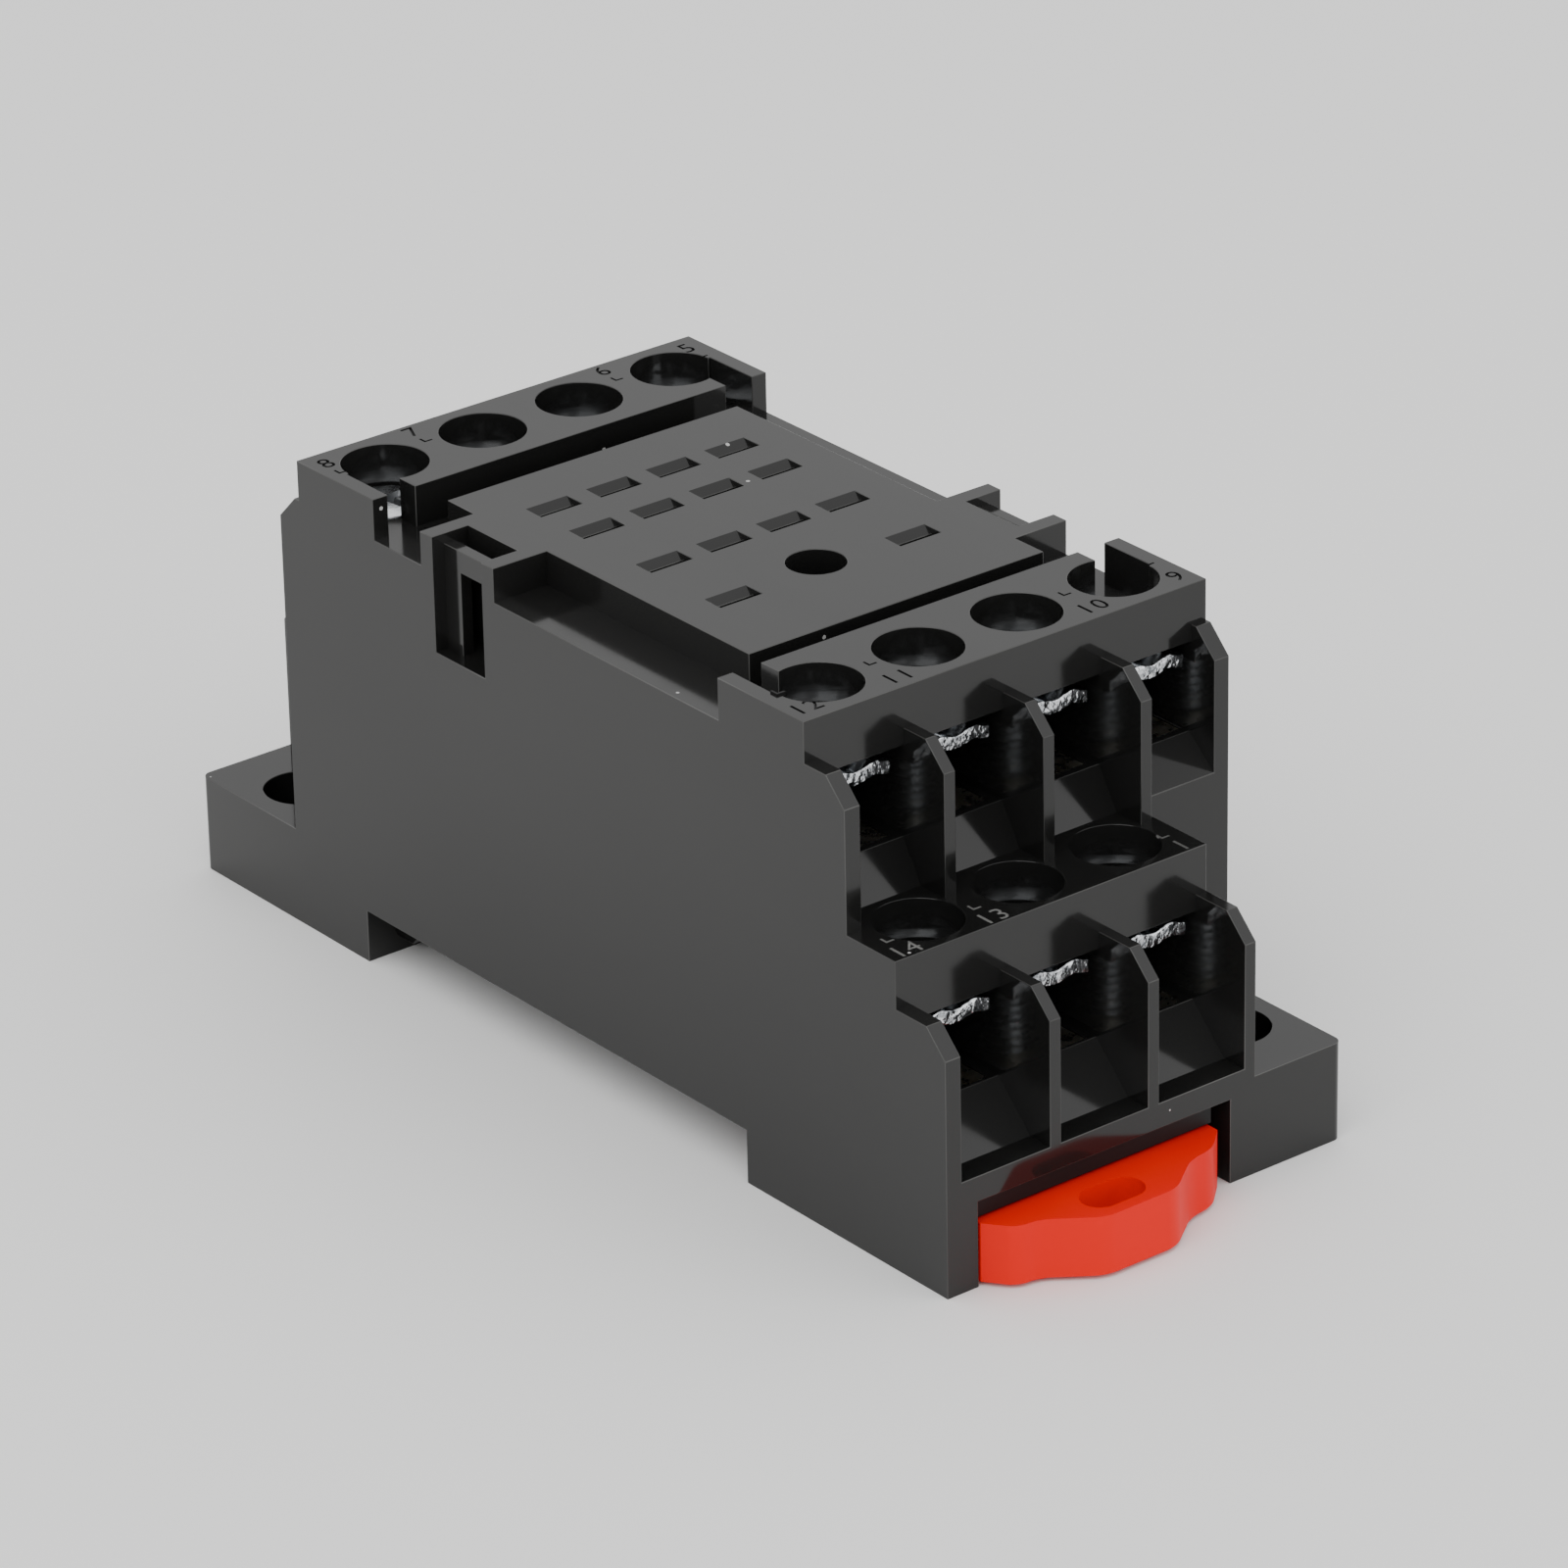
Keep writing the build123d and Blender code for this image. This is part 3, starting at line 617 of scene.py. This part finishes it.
def carve(body: bmesh.types.BMesh, cutter: bmesh.types.BMesh, slots: int = 4) -> bmesh.types.BMesh:
    """Cut one closed mesh out of another, keeping both sets of material indices.

    Args:
        body: the mesh to cut, which is used up.
        cutter: the shape to take away, which is used up.
        slots: material indices that both may use.

    Returns:
        What is left of the body.
    """
    holders = []
    for label, mesh in (("carved", body), ("carver", cutter)):
        data = stored(mesh, label)
        for _ in range(slots):
            data.materials.append(None)
        holders.append(in_scene(label, data))
    modifier = holders[0].modifiers.new("carve", "BOOLEAN")
    modifier.operation = "DIFFERENCE"
    modifier.solver = "EXACT"
    modifier.object = holders[1]
    view = bpy.context.evaluated_depsgraph_get()
    left = bpy.data.meshes.new_from_object(holders[0].evaluated_get(view))
    result = bmesh.new()
    result.from_mesh(left)
    bpy.data.meshes.remove(left)
    for holder in holders:
        data = holder.data
        bpy.data.objects.remove(holder)
        bpy.data.meshes.remove(data)
    return result


def joined(meshes: Iterable[bmesh.types.BMesh]) -> bmesh.types.BMesh:
    """Put several meshes into one.

    Args:
        meshes: the meshes, which are used up.

    Returns:
        One mesh with all of them.
    """
    result = bmesh.new()
    for mesh in meshes:
        data = stored(mesh, "joined")
        result.from_mesh(data)
        bpy.data.meshes.remove(data)
    return result


@dataclass
class TerminalNumbers:
    """Engraved terminal numbers, each with a small corner mark."""

    depth: float = 0.12 * MM
    digit_height: float = 1.3 * MM
    digit_share: float = 0.7
    spacing: float = 1.15
    curve_steps: int = 3
    upper: tuple[tuple[str, float, float], ...] = (
        ("12", -13.4, -23.2),
        ("11", -7.0, -23.4),
        ("10", 7.3, -23.3),
        ("9", 13.6, -23.2),
        ("8", -13.6, 21.9),
        ("7", -7.0, 22.4),
        ("6", 7.3, 22.4),
        ("5", 13.4, 21.9),
    )
    lower: tuple[tuple[str, float, float], ...] = (
        ("14", -13.3, -31.55),
        ("13", -7.05, -31.55),
        ("1", 6.8, -31.55),
        ("4", -6.8, 30.3),
        ("3", 7.05, 30.3),
        ("2", 13.4, 30.3),
    )
    mark_rise: tuple[float, float] = (2.75 * MM, 1.9 * MM)
    back_mark_rise: float = -1.15 * MM
    mark_size: float = 0.6 * MM
    mark_line: float = 0.14 * MM

    def text(self, words: str) -> bmesh.types.BMesh:
        """A number as a closed mesh that stands on the XY plane.

        Args:
            words: the digits.

        Returns:
            The digits, centred on the origin in X and resting on Y = 0.
        """
        curve = bpy.data.curves.new("number", "FONT")
        curve.body = words
        curve.align_x = "CENTER"
        curve.size = self.digit_height / self.digit_share
        curve.extrude = self.depth
        curve.space_character = self.spacing
        curve.resolution_u = self.curve_steps
        holder = in_scene("number", curve)
        view = bpy.context.evaluated_depsgraph_get()
        data = bpy.data.meshes.new_from_object(holder.evaluated_get(view))
        mesh = bmesh.new()
        mesh.from_mesh(data)
        bmesh.ops.remove_doubles(mesh, verts=mesh.verts[:], dist=WELD)
        bpy.data.objects.remove(holder)
        bpy.data.curves.remove(curve)
        bpy.data.meshes.remove(data)
        return mesh

    def mark(self, rise: float) -> bmesh.types.BMesh:
        """The corner mark beside a number, an L of two short strokes.

        Args:
            rise: how far behind the number's foot it lies, or before it where negative.

        Returns:
            The mark, about the number's middle.
        """
        size, line = self.mark_size, self.mark_line
        outline = ((0, 0), (size, 0), (size, line), (line, line), (line, size), (0, size))
        mesh = bmesh.new()
        points = [mesh.verts.new((x - size / 2, y + rise, -self.depth)) for x, y in outline]
        grown = bmesh.ops.extrude_face_region(mesh, geom=[mesh.faces.new(points)])
        top = [item for item in grown["geom"] if isinstance(item, bmesh.types.BMVert)]
        bmesh.ops.translate(mesh, vec=(0, 0, 2 * self.depth), verts=top)
        bmesh.ops.recalc_face_normals(mesh, faces=mesh.faces[:])
        return mesh

    def cutter(self, row_top: float) -> bmesh.types.BMesh:
        """Every number and mark, as one cutter.

        Args:
            row_top: height of the upper tiers' tops, in metres.

        Returns:
            The cutter, with the index of the near-black painted-shade finish above and that of the pale
            painted-highlight finish on the lower steps.
        """
        pieces = []
        heights = (row_top, row_top - STEP_DROP)
        for rows, z, rise in zip((self.upper, self.lower), heights, self.mark_rise):
            for words, x, y in rows:
                for mesh in (self.text(words), self.mark(rise if y < 0 else self.back_mark_rise)):
                    bmesh.ops.translate(mesh, vec=(x * MM, y * MM, z), verts=mesh.verts[:])
                    pieces.append(mesh)
        result = joined(pieces)
        for face in result.faces:
            above = face.calc_center_median().z > row_top - STEP_DROP / 2
            face.material_index = SHADED if above else GLINTED
        return result


@dataclass(frozen=True)
class HiddenSpace:
    """A closed space in the housing, alike on both sides and at both ends.

    A space whose start is below zero also takes in the middle of the socket.
    """

    half_width: float
    start: float
    stop: float
    floor: float
    roof: float

    def holds(self, point: Vector) -> bool:
        """Whether the space holds a point.

        Args:
            point: the point, in metres.

        Returns:
            True where the point lies inside.
        """
        in_plan = abs(point.x) < self.half_width and self.start < abs(point.y) < self.stop
        return in_plan and self.floor < point.z < self.roof


@dataclass
class Housing:
    """The black moulding, with rounded edges and engraved numbers."""

    finishes: Finishes
    numbers: TerminalNumbers
    edge_width: float = 0.1 * MM
    edge_steps: int = 2
    rim_width: float = 0.3 * MM
    rim_steps: int = 4
    rim_chord: float = 0.6 * MM
    sharp: float = 35.0
    level: float = 5 * WELD
    cavity: HiddenSpace = HiddenSpace(13.45 * MM, -1.0 * MM, 17.85 * MM, 3.5 * MM, 9.85 * MM)
    forks: HiddenSpace = HiddenSpace(8.4 * MM, -1.0 * MM, 10.75 * MM, 9.85 * MM, 29.1 * MM)
    legs: HiddenSpace = HiddenSpace(12.0 * MM, 16.7 * MM, 17.9 * MM, 3.5 * MM, 21.95 * MM)
    under_upper: HiddenSpace = HiddenSpace(13.45 * MM, 17.5 * MM, 23.3 * MM, 10.0 * MM, 21.95 * MM)
    under_lower: HiddenSpace = HiddenSpace(13.45 * MM, 25.5 * MM, 31.4 * MM, 4.0 * MM, 9.85 * MM)
    mouth_low: tuple[float, float, float] = (-12.5 * MM, -35.95 * MM, 0.05 * MM)
    mouth_high: tuple[float, float, float] = (6.3 * MM, -30.0 * MM, 5.38 * MM)

    def inside(self, point: Vector) -> bool:
        """Whether a point lies in the closed spaces for contacts and screws."""
        spaces = (self.cavity, self.forks, self.legs, self.under_upper, self.under_lower)
        return any(space.holds(point) for space in spaces)

    def in_mouth(self, point: Vector) -> bool:
        """Whether a point lies on the inside of the clip's mouth, whose matt, near-black finish is painted
        shade.
        """
        return all(low < value < high for low, value, high in zip(self.mouth_low, point, self.mouth_high))

    def rims(self, mesh: bmesh.types.BMesh, z: float) -> list[bmesh.types.BMEdge]:
        """Edges of the lower tiers' screw wells at their tops.

        Args:
            mesh: the housing.
            z: height of the lower steps, in metres.

        Returns:
            The short edges of the wells' round rims.
        """
        chosen = []
        for edge in mesh.edges:
            flat = all(abs(v.co.z - z) < self.level for v in edge.verts)
            short = edge.calc_length() < self.rim_chord
            if flat and short and edge_angle(edge) > self.sharp and edge.is_convex:
                chosen.append(edge)
        return chosen

    def build(self) -> bpy.types.Object:
        """Dress the moulding.

        Returns:
            The dressed piece.
        """
        mesh = node_copy("housing")
        row_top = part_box("housing")[1][2]
        round_edges(mesh, self.rims(mesh, row_top - STEP_DROP), self.rim_width, self.rim_steps)
        edges = []
        for edge in mesh.edges:
            middle = (edge.verts[0].co + edge.verts[1].co) / 2
            if edge_angle(edge) > self.sharp and edge.is_convex and not self.inside(middle):
                edges.append(edge)
        round_edges(mesh, edges, self.edge_width, self.edge_steps, EDGE)
        mesh = carve(mesh, self.numbers.cutter(row_top))
        # Painted shade: the faces inside the clip's mouth take the near-black finish of the engraved numbers.
        for face in mesh.faces:
            if self.in_mouth(face.calc_center_median()):
                face.material_index = SHADED
        shade_by_angle(mesh)
        colours = self.finishes
        materials = (colours.housing, colours.housing_edge, colours.recess_shadow, colours.glinting_numeral)
        return finished(mesh, "moulded_housing", materials, "socket", "housing")


@dataclass
class BottomCover:
    """The plate that closes the contact cavity, grained as moulded."""

    finishes: Finishes
    edge_width: float = 0.12 * MM
    edge_steps: int = 2
    sharp: float = 60.0

    def build(self) -> bpy.types.Object:
        """Dress the cover.

        Returns:
            The dressed piece.
        """
        mesh = node_copy("bottom_cover")
        edges = [edge for edge in mesh.edges if edge_angle(edge) > self.sharp and edge.is_convex]
        round_edges(mesh, edges, self.edge_width, self.edge_steps, EDGE)
        shade_by_angle(mesh)
        materials = (self.finishes.cover, self.finishes.housing_edge)
        return finished(mesh, "moulded_cover", materials, "socket", "bottom_cover")


@dataclass
class RailClip:
    """The orange clip, with a softly rounded handle."""

    finishes: Finishes
    handle_reach: float = 0.7 * MM
    handle_width: float = 0.7 * MM
    handle_steps: int = 6
    handle_angles: tuple[float, float] = (8.0, 80.0)
    handle_height: float = 3.0 * MM
    edge_width: float = 0.14 * MM
    edge_steps: int = 3
    sharp: float = 40.0
    half_length: float = 36.0 * MM

    def handle_corners(self, mesh: bmesh.types.BMesh) -> list[bmesh.types.BMEdge]:
        """Upright edges of the handle outside the socket.

        Args:
            mesh: the clip.

        Returns:
            The edges that the handle's soft corners take.
        """
        chosen = []
        blunt, square = self.handle_angles
        for edge in mesh.edges:
            first, second = (v.co for v in edge.verts)
            upright = abs(first.x - second.x) < WELD and abs(first.y - second.y) < WELD
            outside = first.y < -self.half_length - self.handle_reach
            tall = edge.calc_length() > self.handle_height
            if upright and outside and tall and blunt < edge_angle(edge) < square:
                chosen.append(edge)
        return chosen

    def build(self) -> bpy.types.Object:
        """Dress the clip.

        Returns:
            The dressed piece.
        """
        mesh = node_copy("din_clip")
        round_edges(mesh, self.handle_corners(mesh), self.handle_width, self.handle_steps)
        edges = [edge for edge in mesh.edges if edge_angle(edge) > self.sharp and edge.is_convex]
        round_edges(mesh, edges, self.edge_width, self.edge_steps, EDGE)
        shade_by_angle(mesh)
        materials = (self.finishes.clip, self.finishes.clip_edge)
        return finished(mesh, "moulded_clip", materials, "rail_clip", "din_clip")


@dataclass
class TerminalScrew:
    """Pan-head screw with a cross recess and a rolled thread."""

    finishes: Finishes
    head_radius: float = 2.4 * MM
    head_height: float = 1.75 * MM
    side_height: float = 1.4 * MM
    crown_steps: int = 8
    crown_fullness: float = 0.55
    under_round: float = 0.14 * MM
    core_radius: float = 1.24 * MM
    crest_radius: float = 1.5 * MM
    length: float = 6.5 * MM
    tip_chamfer: float = 0.35 * MM
    pitch: float = 0.5 * MM
    ridge_share: float = 0.46
    ridge_sink: float = 0.04 * MM
    turn_steps: int = 20
    turn_apart: float = 37.0
    smooth_angle: float = 40.0
    recess_reach: float = 1.6 * MM
    recess_half: float = 0.37 * MM
    recess_depth: float = 1.1 * MM
    recess_floor: float = 0.5
    recess_above: float = 0.2

    def head(self) -> bmesh.types.BMesh:
        """Head and core, turned in one piece.

        Returns:
            The screw without its recess and thread.
        """
        rise = self.head_height - self.side_height
        crown = []
        for step in range(self.crown_steps + 1):
            angle = step / self.crown_steps * math.pi / 2
            height = self.side_height + rise * math.cos(angle) ** self.crown_fullness
            crown.append((self.head_radius * math.sin(angle), height))
        profile = crown + [
            (self.head_radius, self.under_round),
            (self.head_radius - self.under_round, 0.0),
            (self.core_radius, 0.0),
            (self.core_radius, self.tip_chamfer - self.length),
            (self.core_radius - self.tip_chamfer, -self.length),
            (0.0, -self.length),
        ]
        profile[0] = (0.0, self.head_height)
        return lathe(profile, 2 * self.turn_steps)

    def recess(self) -> bmesh.types.BMesh:
        """Tapered cross for the driver, which opens the head.

        Returns:
            The cutter, with the index EDGE.
        """
        long, half = self.recess_reach, self.recess_half
        corners = [(long, half), (half, half), (half, long)]
        outline = []
        for quarter in range(4):
            turn = Matrix.Rotation(quarter * math.pi / 2, 3, "Z")
            top = self.head_height * (1 + self.recess_above)
            outline += [turn @ Vector((x, y, top)) for x, y in corners]
        mesh = bmesh.new()
        face = mesh.faces.new([mesh.verts.new(point) for point in outline])
        grown = bmesh.ops.extrude_face_region(mesh, geom=[face])
        floor = [item for item in grown["geom"] if isinstance(item, bmesh.types.BMVert)]
        depth = self.recess_depth + self.head_height * self.recess_above
        bmesh.ops.translate(mesh, vec=(0, 0, -depth), verts=floor)
        bmesh.ops.scale(mesh, vec=(self.recess_floor, self.recess_floor, 1.0), verts=floor)
        bmesh.ops.recalc_face_normals(mesh, faces=mesh.faces[:])
        for face in mesh.faces:
            face.material_index = EDGE
        return mesh

    def thread(self) -> bmesh.types.BMesh:
        """Rolled ridge round the core, from under the clamp to the tip.

        Returns:
            The ridge, closed at both ends.
        """
        mesh = bmesh.new()
        start = self.tip_chamfer - self.length
        root = self.core_radius - self.ridge_sink
        half = self.pitch * self.ridge_share
        section = ((root, start), (self.crest_radius, start + half), (root, start + 2 * half))
        points = [mesh.verts.new((radius, 0.0, z)) for radius, z in section]
        edges = [mesh.edges.new((points[i], points[(i + 1) % 3])) for i in range(3)]
        turns = int((self.length - 2 * self.tip_chamfer) / self.pitch) - 1
        bmesh.ops.spin(
            mesh,
            geom=points + edges,
            cent=(0, 0, 0),
            axis=(0, 0, 1),
            dvec=(0, 0, self.pitch / self.turn_steps),
            angle=math.tau * turns,
            steps=self.turn_steps * turns,
            use_merge=False,
            use_duplicate=False,
        )
        bmesh.ops.holes_fill(mesh, edges=[edge for edge in mesh.edges if edge.is_boundary], sides=4)
        bmesh.ops.recalc_face_normals(mesh, faces=mesh.faces[:])
        return mesh

    def master(self) -> bpy.types.Mesh:
        """One screw on the Z axis, with its clamp's top at the origin.

        Returns:
            The screw's mesh data, which every terminal copies.
        """
        mesh = joined((carve(self.head(), self.recess()), self.thread()))
        shade_by_angle(mesh, self.smooth_angle)
        return stored(mesh, "screw_master")

    def place(self, master: bpy.types.Mesh, terminal: Terminal, turn: float) -> bpy.types.Object:
        """Set a screw in its terminal.

        Args:
            master: the screw's shape.
            terminal: where it goes.
            turn: how far its recess is turned, in degrees.

        Returns:
            The screw.
        """
        mesh = bmesh.new()
        mesh.from_mesh(master)
        matrix = Matrix.Translation(terminal.seat) @ Matrix.Rotation(math.radians(turn), 4, "Z")
        bmesh.ops.transform(mesh, matrix=matrix, verts=mesh.verts[:])
        name = f"pan_head_{terminal.tag}"
        materials = (self.finishes.screw, self.finishes.recess)
        node = f"screw_{terminal.tag}"
        return finished(mesh, name, materials, node, node)


@dataclass
class SaddleClamp:
    """Stamped saddle with two humps, sheared edges and a serrated underside."""

    finishes: Finishes
    width: float = 4.8 * MM
    front: float = 3.35 * MM
    back: float = 2.55 * MM
    thickness: float = 0.84 * MM
    hump: float = 0.26 * MM
    hole_radius: float = 1.62 * MM
    tooth: float = 0.07 * MM
    edge_width: float = 0.09 * MM
    edge_steps: int = 2
    ripple: float = 0.035 * MM
    ripple_seed: int = 7
    ripple_scale: float = 1400.0
    torn_share: float = 0.46
    torn_strip: float = 0.2 * MM
    steep: float = 0.5
    sharp: float = 60.0
    smooth_angle: float = 38.0
    columns: int = 32
    rows: int = 24
    hole_steps: int = 32
    hole_length: float = 4 * MM

    def plate(self) -> bmesh.types.BMesh:
        """The humped plate, with its top about the origin and its front at -Y.

        Returns:
            The closed plate without its hole.
        """
        mesh = bmesh.new()
        bmesh.ops.create_grid(mesh, x_segments=self.columns, y_segments=self.rows, size=0.5)
        depth = self.front + self.back
        bmesh.ops.scale(mesh, vec=(self.width, depth, 1.0), verts=mesh.verts[:])
        bmesh.ops.translate(mesh, vec=(0, (self.back - self.front) / 2, 0), verts=mesh.verts[:])
        for vert in mesh.verts:
            wave = math.cos(4 * math.pi * vert.co.x / self.width)
            vert.co.z = -self.hump * (0.5 + 0.5 * wave)
        grown = bmesh.ops.extrude_face_region(mesh, geom=mesh.faces[:])
        under = [item for item in grown["geom"] if isinstance(item, bmesh.types.BMVert)]
        bmesh.ops.translate(mesh, vec=(0, 0, -self.thickness), verts=under)
        row_depth = depth / self.rows
        for vert in under:
            row = round((vert.co.y + self.front) / row_depth)
            vert.co.z += self.tooth * (row % 2)
        bmesh.ops.recalc_face_normals(mesh, faces=mesh.faces[:])
        return mesh

    def master(self) -> bpy.types.Mesh:
        """One clamp on the Z axis, with its highest point at the origin.

        Returns:
            The clamp's mesh data, which every terminal copies.
        """
        mesh = self.plate()
        for face in mesh.faces:
            face.material_index = EDGE if abs(face.normal.z) < self.steep else MAIN
        outline = [edge for edge in mesh.edges if edge_angle(edge) > self.sharp]
        round_edges(mesh, outline, self.edge_width, self.edge_steps, EDGE)
        noise.seed_set(self.ripple_seed)
        for vert in mesh.verts:
            rough = noise.noise_vector(vert.co * self.ripple_scale) * self.ripple
            if abs(vert.co.x) > self.width * self.torn_share or vert.co.y < self.torn_strip - self.front:
                vert.co += rough
        hole = bmesh.new()
        bmesh.ops.create_cone(
            hole,
            cap_ends=True,
            segments=self.hole_steps,
            radius1=self.hole_radius,
            radius2=self.hole_radius,
            depth=self.hole_length,
        )
        for face in hole.faces:
            face.material_index = EDGE
        mesh = carve(mesh, hole)
        shade_by_angle(mesh, self.smooth_angle)
        return stored(mesh, "clamp_master")

    def place(self, master: bpy.types.Mesh, terminal: Terminal) -> bpy.types.Object:
        """Set a clamp in its terminal.

        Args:
            master: the clamp's shape.
            terminal: where it goes.

        Returns:
            The clamp.
        """
        mesh = bmesh.new()
        mesh.from_mesh(master)
        turn = Matrix.Rotation(0.0 if terminal.end is End.FRONT else math.pi, 4, "Z")
        bmesh.ops.transform(mesh, matrix=Matrix.Translation(terminal.seat) @ turn, verts=mesh.verts[:])
        name = f"saddle_{terminal.tag}"
        materials = (self.finishes.clamp, self.finishes.sheared)
        node = f"clamp_{terminal.tag}"
        return finished(mesh, name, materials, node, node)


@dataclass
class Contacts:
    """The stamped contact strips, which keep their CAD shape."""

    finishes: Finishes

    def dress(self) -> int:
        """Give every contact its tin plating.

        Returns:
            How many contacts were dressed.
        """
        nodes = [node for name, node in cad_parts.items() if name.startswith("contact_")]
        for node in nodes:
            if not node.material_slots:
                node.data.materials.append(self.finishes.contact)
            for slot in node.material_slots:
                slot.material = self.finishes.contact
        return len(nodes)


@dataclass(frozen=True)
class SoftLamp:
    """A square lamp that looks at the socket."""

    name: str
    place: tuple[float, float, float]
    size: float
    watts: float


@dataclass
class Studio:
    """Plain floor, soft lights and the camera at the photograph's angle."""

    camera_place: tuple[float, float, float] = (-0.263236, -0.340255, 0.219875)
    forward: tuple[float, float, float] = (0.55543, 0.71081, -0.43157)
    right: tuple[float, float, float] = (0.78230, -0.62263, -0.01867)
    lens: float = 185.71
    sensor_width: float = 36.0
    nearest: float = 0.01
    farthest: float = 20.0
    floor_size: float = 6.0
    floor_colour: tuple[float, float, float] = (0.93, 0.93, 0.925)
    floor_gloss: float = 0.7
    room_light: float = 1.08
    aim_height: float = 15 * MM
    key: SoftLamp = SoftLamp("key_light", (-0.5, -0.25, 0.75), 0.7, 3.0)
    fill: SoftLamp = SoftLamp("fill_light", (0.35, -0.75, 0.45), 0.8, 1.5)

    def camera(self) -> None:
        """Set the camera where the photograph was taken from."""
        data = bpy.data.cameras.new("photo_camera")
        data.lens = self.lens
        data.sensor_width = self.sensor_width
        data.clip_start = self.nearest
        data.clip_end = self.farthest
        camera = in_scene("photo_camera", data)
        back = -Vector(self.forward).normalized()
        right = Vector(self.right).normalized()
        up = back.cross(right).normalized()
        right = up.cross(back).normalized()
        turn = Matrix((right, up, back)).transposed()
        camera.matrix_world = Matrix.Translation(Vector(self.camera_place)) @ turn.to_4x4()
        bpy.context.scene.camera = camera

    def floor(self) -> None:
        """Lay the pale floor."""
        mesh = bmesh.new()
        bmesh.ops.create_grid(mesh, x_segments=1, y_segments=1, size=self.floor_size / 2)
        piece = in_scene("floor", stored(mesh, "floor"))
        material = bpy.data.materials.new("pale_floor")
        material.use_nodes = True
        shader = material.node_tree.nodes["Principled BSDF"]
        shader.inputs["Base Color"].default_value = (*self.floor_colour, 1.0)
        shader.inputs["Roughness"].default_value = self.floor_gloss
        piece.data.materials.append(material)

    def hang(self, lamp: SoftLamp) -> None:
        """Hang one soft lamp.

        Args:
            lamp: its name, place, size and power.
        """
        data = bpy.data.lights.new(lamp.name, "AREA")
        data.shape = "SQUARE"
        data.size = lamp.size
        data.energy = lamp.watts
        hung = in_scene(lamp.name, data)
        hung.location = lamp.place
        aim = Vector((0, 0, self.aim_height)) - Vector(lamp.place)
        hung.rotation_euler = aim.to_track_quat("-Z", "Y").to_euler()

    def surround(self) -> None:
        """Fill the room with even pale light."""
        world = bpy.data.worlds.new("pale_room")
        world.use_nodes = True
        back = world.node_tree.nodes["Background"]
        back.inputs["Color"].default_value = (1.0, 1.0, 1.0, 1.0)
        back.inputs["Strength"].default_value = self.room_light
        bpy.context.scene.world = world

    def build(self) -> None:
        """Set up floor, lights and camera."""
        self.floor()
        self.surround()
        self.hang(self.key)
        self.hang(self.fill)
        self.camera()


def main() -> None:
    """Build every sub-assembly in order."""
    finishes = Finishes()
    housing = Housing(finishes, TerminalNumbers()).build()
    LOG.info("housing: %s faces", len(housing.data.polygons))
    cover = BottomCover(finishes).build()
    LOG.info("bottom cover: %s faces", len(cover.data.polygons))
    clip = RailClip(finishes).build()
    LOG.info("rail clip: %s faces", len(clip.data.polygons))
    screws = TerminalScrew(finishes)
    clamps = SaddleClamp(finishes)
    screw_master = screws.master()
    clamp_master = clamps.master()
    for index, terminal in enumerate(all_terminals()):
        clamps.place(clamp_master, terminal)
        screws.place(screw_master, terminal, index * screws.turn_apart)
        LOG.info("terminal %s: clamp and screw", terminal.tag)
    LOG.info("contacts: %s dressed", Contacts(finishes).dress())
    Studio().build()


if __name__ == "__main__":
    main()
